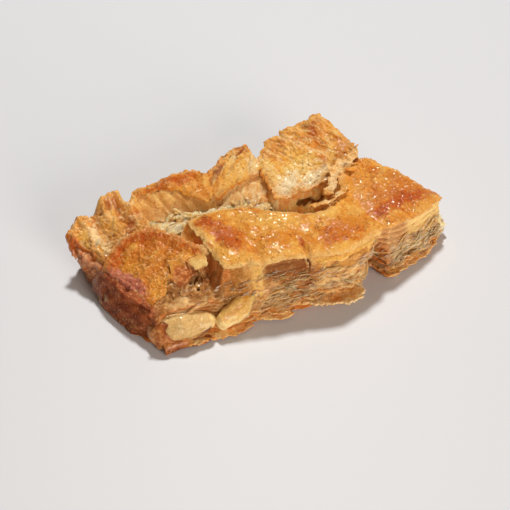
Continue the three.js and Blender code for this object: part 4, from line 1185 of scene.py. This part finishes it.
def ridge_flakes(gx, gy, gz):
    """Crumpled pale leaves where the back row meets the right end, and along the furrow's far side."""
    X, Y, Z = np.meshgrid(gx, gy, gz, indexing="ij")
    p, q = X[:, :, 0], Y[:, :, 0]
    f = np.full(X.shape, -9.0)
    for k, (cx, cy, cz, sx, sy, tx, ty, a, b, turn) in enumerate((
        (48, 8, 32.2, 0.10, 0.35, 0, 0, 6.5, 2.6, 12), (41, 5, 31.4, -0.25, 0.30, 0, 0, 5.5, 2.4, -30), (54, 11, 31.8, 0.3, 0.2, 0, 0, 5.0, 2.0, 30),
        (36, -1, 30.6, -0.3, 0.5, 0, 0, 5.5, 2.2, 50), (31, -6, 30.2, -0.2, 0.45, 0, 0, 5.0, 2.0, 20), (45, 3, 32.0, 0.35, -0.3, 0, 0, 4.0, 2.0, -10),
        (33, -12, 31.6, 0.1, -0.3, 0, 0, 6.0, 1.8, 25), (22, -15, 32.0, 0.05, -0.25, 0, 0, 6.0, 1.8, -8))):
        surface = cz + sx * (p - cx) + sy * (q - cy) + 0.8 * noise2(p, q, 3.0, 671 + k) + 0.35 * noise2(p, q, 1.3, 681 + k)
        mask = oval(p, q, (cx, cy), (a, b), turn) + 0.9 * noise2(p, q, 2.2, 691 + k)
        f = np.maximum(f, leaf(Z, surface[:, :, None], 0.6, mask[:, :, None], 0.7))
    return f


extras = []


def finish_piece(ob, mat, tone):
    Pp, Np = points_of(ob)
    c, g = tone(Pp, Np) if callable(tone) else colour_of(Pp, Np, tone)
    paint(ob, c, g)
    ob.data.materials.append(mat)
    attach(ob, "root")
    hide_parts(NODE)


def front_of(x, z, tidy=5):
    """The foremost y of the solid at points (x, z), smoothed along a run of points."""
    i = np.clip(np.rint((x - xs[0]) / STEP[0]).astype(int), 0, len(xs) - 1)
    k = np.clip(np.rint((z - zs[0]) / STEP[2]).astype(int), 0, len(zs) - 1)
    y = FRONT_Y[i, k]
    if tidy > 1:
        pad = np.pad(y, tidy // 2, mode="edge")
        low = np.min([pad[n:n + len(y)] for n in range(tidy)], axis=0)
        pad = np.pad(low, 2, mode="edge")
        y = (pad[:-4] + pad[1:-3] + pad[2:-2] + pad[3:-1] + pad[4:]) / 5
    return y


def threads(name, runs):
    """Thin strings of dough that cling to the cut walls."""
    V, Fc, tone = [], [], []
    base, sides = 0, 5
    for n, (x0, z0, x1, z1, r, sag, stand) in enumerate(runs):
        rng = np.random.default_rng(900 + n)
        m = max(6, int(math.hypot(x1 - x0, z1 - z0) / 0.7))
        t = np.linspace(0, 1, m)
        wob = rng.normal(size=4)
        x = x0 + (x1 - x0) * t + 0.35 * wob[0] * np.sin(3 * t * math.pi) + 0.25 * wob[1] * np.sin(7 * t + wob[2])
        z = z0 + (z1 - z0) * t - sag * np.sin(t * math.pi) + 0.25 * wob[3] * np.sin(9 * t + wob[0])
        y = front_of(x, z) - stand - 0.5 * r
        P = np.c_[x, y, np.maximum(z, 0.4)]
        d = np.gradient(P, axis=0)
        d /= np.linalg.norm(d, axis=1)[:, None] + 1e-9
        u = np.cross(d, [0, 1, 0]); u /= np.linalg.norm(u, axis=1)[:, None] + 1e-9
        w = np.cross(d, u)
        fat = r * (0.35 + 0.65 * np.sin(np.clip(t, 0.03, 0.97) * math.pi) ** 0.5) * (1 + 0.3 * np.sin(5 * t + wob[1]))
        for s_ in range(sides):
            a = 2 * math.pi * s_ / sides
            V.append(P + (math.cos(a) * u * 1.5 + math.sin(a) * w * 0.8) * fat[:, None])
        V.append(P[[0, -1]])
        i = np.arange(m - 1)
        tri = []
        for s_ in range(sides):
            a, b = base + s_ * m + i, base + ((s_ + 1) % sides) * m + i
            tri += [np.c_[a, b, b + 1], np.c_[a, b + 1, a + 1]]
            tri += [np.array([[base + sides * m, b[0], a[0]], [base + sides * m + 1, a[-1] + 1, b[-1] + 1]])]
        Fc += tri
        base += sides * m + 2
        tone.append(np.full(sides * m + 2, rng.random()))
    # points were laid out side by side, which is the order the faces use
    return make_mesh(name, np.concatenate(V), np.concatenate(Fc)), np.concatenate(tone)


def scraps(name, spots):
    """Small curled bits of sheet caught on the cut walls."""
    V, Fc, tone = [], [], []
    base, g = 0, 5
    for n, (x0, z0, a, b, turn, lean) in enumerate(spots):
        rng = np.random.default_rng(1300 + n)
        y0 = float(front_of(np.array([x0]), np.array([z0]), 1)[0])
        u, v = [c.ravel() for c in np.meshgrid(np.linspace(-1, 1, g), np.linspace(-1, 1, g), indexing="ij")]
        rag = 1 + 0.25 * rng.normal(size=g * g)
        du, dv = u * a * rag, v * b * rag
        c, q = math.cos(turn), math.sin(turn)
        px = x0 + c * du - q * dv
        pz = z0 + (q * du + c * dv) * math.cos(lean)
        py = y0 + 0.4 - (q * du + c * dv) * math.sin(lean) - 0.4 * b + 0.25 * a * (u * u) * rng.choice([-1, 1]) + 0.12 * rng.normal(size=g * g)
        P = np.c_[px, py, np.maximum(pz, 0.3)]
        thick = 0.11
        V += [P + [0, -thick, thick * 0.5], P + [0, thick, -thick * 0.5]]
        i, j = [c_.ravel() for c_ in np.meshgrid(np.arange(g - 1), np.arange(g - 1), indexing="ij")]
        k = base + i * g + j
        o = g * g
        Fc += [np.c_[k, k + g, k + g + 1], np.c_[k, k + g + 1, k + 1], np.c_[k + o, k + o + g + 1, k + o + g], np.c_[k + o, k + o + 1, k + o + g + 1]]
        edge = [r_ * g for r_ in range(g)] + [(g - 1) * g + c_ for c_ in range(1, g)] + [r_ * g + g - 1 for r_ in range(g - 2, -1, -1)] + [c_ for c_ in range(g - 2, 0, -1)]
        e = base + np.array(edge)
        f = np.roll(e, -1)
        Fc += [np.c_[e, e + o, f + o], np.c_[e, f + o, f]]
        base += 2 * o
        tone.append(np.full(2 * o, rng.random()))
    return make_mesh(name, np.concatenate(V), np.concatenate(Fc)), np.concatenate(tone)


def tint_sheets(share):
    def go(P, N):
        x, y, z = P.T
        mid, small = fbm3(x, y, z, 5, 701, 3), noise3(x, y, z, 1.4, 702)
        c = blend(TAN, CREAM, smooth(-0.4, 0.2, mid + 0.3 * small))
        c = blend(c, CREAM_PALE, smooth(0.15, 0.7, mid + 0.5 * small))
        low = smooth(0.22, 0.06, share + 0.05 * mid)
        c = blend(c, AMBER, low * 0.85)
        c = blend(c, BROWN, low * smooth(0.0, 0.5, small + mid) * 0.8)
        # painted shade in narrow gaps and in the recess, and painted light on bits that stand out
        thin = nearest(closed_fine, x, y, z)
        c = blend(c, lin(170, 98, 48), smooth(0.5, 0.8, thin) * (0.8 - 0.4 * smooth(42, 47, x)))
        c = blend(c, lin(252, 212, 150), smooth(0.3, 0.12, thin) * 0.5 * (1 - low))
        c = blend(c, lin(200, 122, 60), recess_shade(x, y, z) * 0.6)
        return c, 0.35 + 0.3 * mid
    return go


def tint_dough(deep, mid_c, pale, brown_at=None):
    def go(P, N):
        x, y, z = P.T
        mid, small = fbm3(x, y, z, 5, 711, 3), noise3(x, y, z, 1.5, 712)
        c = blend(deep, mid_c, smooth(-0.5, 0.0, mid))
        c = blend(c, pale, smooth(-0.05, 0.6, mid + 0.3 * small))
        if brown_at is not None:
            c = blend(c, AMBER, brown_at(x, y, z, mid, small))
        return c, 0.5 + 0.3 * mid
    return go


crust_mat = pastry_material("baked_crust", sss=0.18, rough=(0.62, 0.45), bump=0.35, coat=0.40)
film_mat = pastry_material("thin_crust", sss=0.4, rough=(0.58, 0.38), bump=0.25, coat=0.42)
crumb_mat = pastry_material("crumb", sss=1.0, rough=(0.6, 0.4), bump=0.15, deep=0.0032)
dough_mat = pastry_material("soft_dough", sss=0.8, rough=(0.45, 0.3), bump=0.1, coat=0.3, deep=0.0030)
finish_piece(crumb, crumb_mat, False)
for ob, mat in zip(crusts, (crust_mat, film_mat, film_mat)):
    finish_piece(ob, mat, True)

ring, share = ring_sheets("sheets", [0.06, 0.14, 0.24, 0.38])
finish_piece(ring, crumb_mat, tint_sheets(share))

def tone_membranes(P, N):
    x, y, z = P.T
    mid, small = fbm3(x, y, z, 5, 711, 2), noise3(x, y, z, 1.6, 712)
    c = blend(lin(160, 106, 54), lin(204, 152, 92), smooth(-0.3, 0.5, mid + 0.3 * small))
    edge = inside_poly(x, y, [(-70, -27), (-64, -23), (-56, -22), (-45, -25), (-43.5, -30), (-45, -34), (-50, -34.3), (-57, -35.2), (-62, -34.3), (-68.5, -33)])
    c = tint(c, smooth(1.8, 0.2, edge) * smooth(-30, -33, y) * 0.8, lin(212, 168, 108))
    webby = band(z - torn_slope(x, y), 0.3, 3.0, 0.4) * smooth(-28, -25, y)
    c = tint(c, webby * 0.8, blend(lin(142, 92, 48), lin(204, 158, 102), smooth(-0.1, 0.6, small + mid)))
    brown = smooth(1.5, -1.5, np.hypot((x + 52.5) / 1.1, y + 18.5) - 4.6 + 1.2 * mid)
    c = tint(c, brown * 0.9, blend(lin(178, 98, 50), lin(212, 138, 82), smooth(-0.3, 0.4, small)))
    tip = smooth(22.8, 24.2, z + 0.3 * (x + 44)) * smooth(-49, -46, x)
    c = tint(c, tip * 0.9, lin(244, 206, 132))
    # painted shade in the gap beside the front row
    c = tint(c, smooth(-47, -42, x + mid) * smooth(25, 22, z) * 0.8, lin(156, 92, 48))
    c = tint(c, smooth(-64, -70, x + mid) * 0.8, lin(200, 122, 58))
    c = tint(c, smooth(2.5, 0.0, inside_poly(x, y, TORN) + mid) * smooth(-26, -20, y) * 0.7, GOLD)
    return c, 0.5 + 0.3 * mid + 0.5 * tip


def tone_folds(P, N):
    x, y, z = P.T
    mid, small = fbm3(x, y, z, 7, 721, 2), noise3(x, y, z, 2.2, 722)
    first = smooth(-47.5, -50, x)
    # the lower fold darker at its foot and paler on top: painted shade and painted light
    c = blend(lin(180, 130, 66), lin(222, 186, 126), smooth(1.0, 8.5, z + 0.8 * mid))
    c2 = blend(lin(250, 220, 158), lin(230, 186, 108), smooth(4.5, 10.5, z + 0.2 * (x + 36) + 0.8 * mid))
    c = c * first[:, None] + c2 * (1 - first[:, None])
    amber = smooth(1.6, 0.2, np.abs(z - (12.6 + 0.41 * (x + 28.5)) - 3.0)) * smooth(-46, -40, x) * (1 - first)
    c = tint(c, amber * 0.7, lin(214, 148, 52))
    c = tint(c, smooth(0.2, 0.6, small) * 0.4, lin(206, 150, 84))
    c = tint(c, smooth(0.25, 0.6, noise3(0.3 * x, 0.3 * y, z, 1.6, 723)) * 0.5, lin(252, 228, 178))
    c = tint(c, smooth(2.4, 1.0, z + 0.5 * mid) * 0.8, lin(196, 122, 62))
    # painted shade in the small holes of the lower fold
    for hx, hz in ((-52.3, 3.6), (-55.0, 2.6), (-50.2, 4.4)):
        c = tint(c, smooth(2.2, 0.9, np.hypot((x - hx) / 1.4, z - hz)) * smooth(-38, -40, y) * 0.9, lin(120, 62, 30))
    return c, np.clip(0.75 + 0.3 * mid, 0, 1)


def tone_flakes(P, N):
    """Golden leaves, browned below, with painted shade in the recess and pale torn edges."""
    x, y, z = P.T
    mid, small = fbm3(x, y, z, 5, 711, 3), noise3(x, y, z, 1.5, 712)
    c = blend(lin(240, 166, 88), lin(252, 204, 134), smooth(-0.5, 0.2, mid + 0.3 * small))
    rim = inside_poly(x, y, [(-6, -38), (-4, -43.5), (4, -49.5), (14, -55.0), (21, -53.5), (25, -50), (26, -40)])
    c = tint(c, smooth(2.2, 0.6, rim + 0.8 * mid) * smooth(2.4, 3.2, z) * smooth(-4, -2, rim) * 0.5, lin(255, 224, 172))
    c = tint(c, smooth(0.1, 0.6, small + 0.5 * mid) * 0.5, lin(255, 228, 176))
    # browned near the bottom, and painted shade in the recess
    c = tint(c, 0.85 * np.maximum(recess_shade(x, y, z), smooth(1.8, 0.6, z) * smooth(-0.3, 0.3, mid)), lin(206, 120, 50))
    return c, 0.4 + 0.3 * mid


finish_piece(sculpt("membranes", (-73, -38, 9), (-37, -9, 29), 0.33, membranes, 40000), dough_mat, tone_membranes)
finish_piece(sculpt("folds", (-76, -46, -0.3), (-22, -26, 19), 0.4, dough_folds, 16000), dough_mat, tone_folds)
finish_piece(sculpt("rolled_end", (-78, -46, -0.3), (-44, -24, 14), 0.3, rolled_end, 24000), crust_mat,
             tint_dough(lin(124, 62, 32), lin(172, 98, 48), lin(220, 152, 90)))
finish_piece(sculpt("bottom_flakes", (-70, -57, -0.2), (86, -20, 9.5), 0.33, bottom_flakes, 80000), crust_mat,
             tone_flakes)
finish_piece(sculpt("furrow_web", (-57, -12, 11), (16, 30, 25), 0.38, furrow_web, 60000), crumb_mat,
             tint_dough(lin(242, 190, 122), lin(254, 218, 158), lin(255, 240, 200)))
finish_piece(sculpt("ridge_flakes", (12, -20, 25), (64, 18, 38), 0.33, ridge_flakes, 36000), crust_mat,
             tint_dough(lin(226, 156, 78), lin(240, 190, 122), lin(250, 216, 164)))


filled = field > 0
FRONT_Y = np.where(filled.any(1), ys[np.argmax(filled, axis=1)], -30.0)


def wall_runs(rng):
    """Strings: a few long ones that show, and many short ones in the grain of the sheets."""
    runs = [(26, 4.5, 14, 13.5, 0.28, 0.2, 0.3), (20, 11, 33, 4.5, 0.22, 0.4, 0.4), (30, 16, 25, 7, 0.22, 0.2, 0.3), (34, 15, 31, 6, 0.2, 0.1, 0.3), (12, 16, 17, 7.5, 0.2, 0.2, 0.3),
            (-19, 12.5, -9, 13.8, 0.34, -0.5, 0.5), (-18, 9.8, -8, 10.6, 0.34, 0.6, 0.5), (-8.5, 13.6, -6.2, 11.0, 0.3, 0.2, 0.5), (-15, 15.2, -5, 15.0, 0.26, -0.4, 0.4),
            (32, 22.5, 41, 23.5, 0.26, 0.4, 0.5), (33, 18, 41, 16.5, 0.24, 0.3, 0.5), (32, 14, 40.5, 12, 0.28, 0.3, 0.6), (33, 9.5, 40, 9, 0.26, -0.3, 0.6), (31, 6, 39, 4.5, 0.24, 0.2, 0.5), (28, 20, 38, 20.5, 0.24, -0.4, 0.5),
            (70, 4.5, 80, 9.0, 0.24, -0.4, 0.4), (44, 6.0, 56, 9.5, 0.24, -0.3, 0.4), (54, 4.0, 66, 7.0, 0.24, -0.3, 0.4), (66, 10.0, 80, 14.0, 0.24, -0.4, 0.4),
            (48, 12.5, 62, 17.0, 0.26, -0.6, 0.4), (46, 10.0, 60, 14.5, 0.26, -0.5, 0.4), (58, 10.0, 74, 15.0, 0.26, -0.5, 0.4), (52, 7.0, 68, 11.5, 0.24, -0.4, 0.4), (64, 6.5, 78, 11.0, 0.24, -0.4, 0.4),
            (50, 8.5, 56, 16, 0.24, 0.3, 0.3), (62, 9, 66, 14.5, 0.2, 0.2, 0.3), (46, 15, 54, 11, 0.2, 0.4, 0.3)]
    for n in range(190):
        x = rng.uniform(-42, 74) if n < 170 else rng.uniform(-20, -2) if n < 200 else rng.uniform(44, 76)
        u = float(np.interp(x, [-42, 36, 45, 84], [25, 25, 17, 14]))
        z = rng.uniform(2.5, u * 0.85)
        if x < -20 and z > 14 or -62 < x < -27 and z < 13:
            continue
        w = rng.uniform(2, 8)
        runs.append((x, z, x + w, z + rng.normal() * 1.1, rng.uniform(0.12, 0.24), rng.normal() * 0.4, rng.uniform(0.1, 0.5)))
    return runs


rng = np.random.default_rng(77)
thread_ob, t_tone = threads("threads", wall_runs(rng))
spots = []
for n in range(350):
    x = rng.uniform(-44, 79) if n < 330 else rng.uniform(46, 79)
    u = float(np.interp(x, [-44, 36, 45, 84], [22, 22, 15, 12]))
    z = rng.uniform(1.5, u)
    if -62 < x < -27 and z < 14:
        continue
    spots.append((x, z, rng.uniform(0.8, 2.6), rng.uniform(0.4, 1.1), rng.normal() * 0.3, rng.uniform(0.2, 1.3)))
scrap_ob, s_tone = scraps("scraps", spots)


def tint_bits(t):
    def go(P, N):
        z = P[:, 2]
        c = blend(lin(230, 164, 88), lin(254, 214, 148), smooth(0.2, 0.8, t))
        return tint(c, smooth(6, 2, z + 4 * (t - 0.5)) * 0.75, lin(212, 140, 62)), 0.5 + 0.3 * t
    return go


finish_piece(thread_ob, crumb_mat, tint_bits(t_tone))
finish_piece(scrap_ob, crumb_mat, tint_bits(s_tone))
count = {o.name: sum(len(q.vertices) - 2 for q in o.data.polygons) for o in bpy.data.objects if o.type == "MESH"}
print("triangles", sum(count.values()), count)


# ---------------------------------------------------------------- floor, light and camera
bpy.ops.mesh.primitive_plane_add(size=4.0, location=(0, 0, -0.0003))
floor = bpy.context.object
floor.name = "floor"
fm = bpy.data.materials.new("floor_white")
fm.use_nodes = True
fb = fm.node_tree.nodes["Principled BSDF"]
fb.inputs["Base Color"].default_value = (0.69, 0.725, 0.80, 1)
fb.inputs["Roughness"].default_value = 0.55
floor.data.materials.append(fm)


def area(name, at, size, power, colour=(1, 1, 1)):
    d = bpy.data.lights.new(name, "AREA")
    d.shape = "DISK"
    d.size = size
    d.energy = power
    d.color = colour
    o = bpy.data.objects.new(name, d)
    bpy.context.scene.collection.objects.link(o)
    at = np.array(at)
    z = at / np.linalg.norm(at)
    x = np.cross([0, 0, 1], z); x /= np.linalg.norm(x)
    y = np.cross(z, x)
    o.matrix_world = Matrix([[x[0], y[0], z[0], at[0]], [x[1], y[1], z[1], at[1]], [x[2], y[2], z[2], at[2]], [0, 0, 0, 1]])
    return o


area("key", (0.51, 1.0, 1.89), 0.26, 39.5, (1.0, 0.965, 0.90))
area("fill", (0.12, -1.45, 0.50), 0.8, 16.5, (1.0, 0.89, 0.77))
world = bpy.data.worlds.new("studio")
world.use_nodes = True
world.node_tree.nodes["Background"].inputs[0].default_value = (1.0, 0.78, 0.58, 1)
world.node_tree.nodes["Background"].inputs[1].default_value = 0.135
bpy.context.scene.world = world

T = math.radians(28)


def turned(v):
    return (v[0] * math.cos(T) + v[1] * math.sin(T), -v[0] * math.sin(T) + v[1] * math.cos(T), v[2])


right = turned((0.999997024, 0.000307335, -0.00242026896))
up = turned((0.00164574526, 0.647355842, 0.762186136))
ahead = turned((-0.0018010217, 0.762187851, -0.647353409))
eye = (-0.208382, -0.382499, 0.37327)
cd = bpy.data.cameras.new("view")
cd.sensor_width = 36
cd.lens = 36 * 1200 / 510
cd.clip_start = 0.01
cam = bpy.data.objects.new("view", cd)
bpy.context.scene.collection.objects.link(cam)
cam.matrix_world = Matrix([[right[i], up[i], -ahead[i], eye[i]] for i in range(3)] + [[0, 0, 0, 1]])
bpy.context.scene.camera = cam
bpy.context.scene.view_settings.view_transform = "Standard"
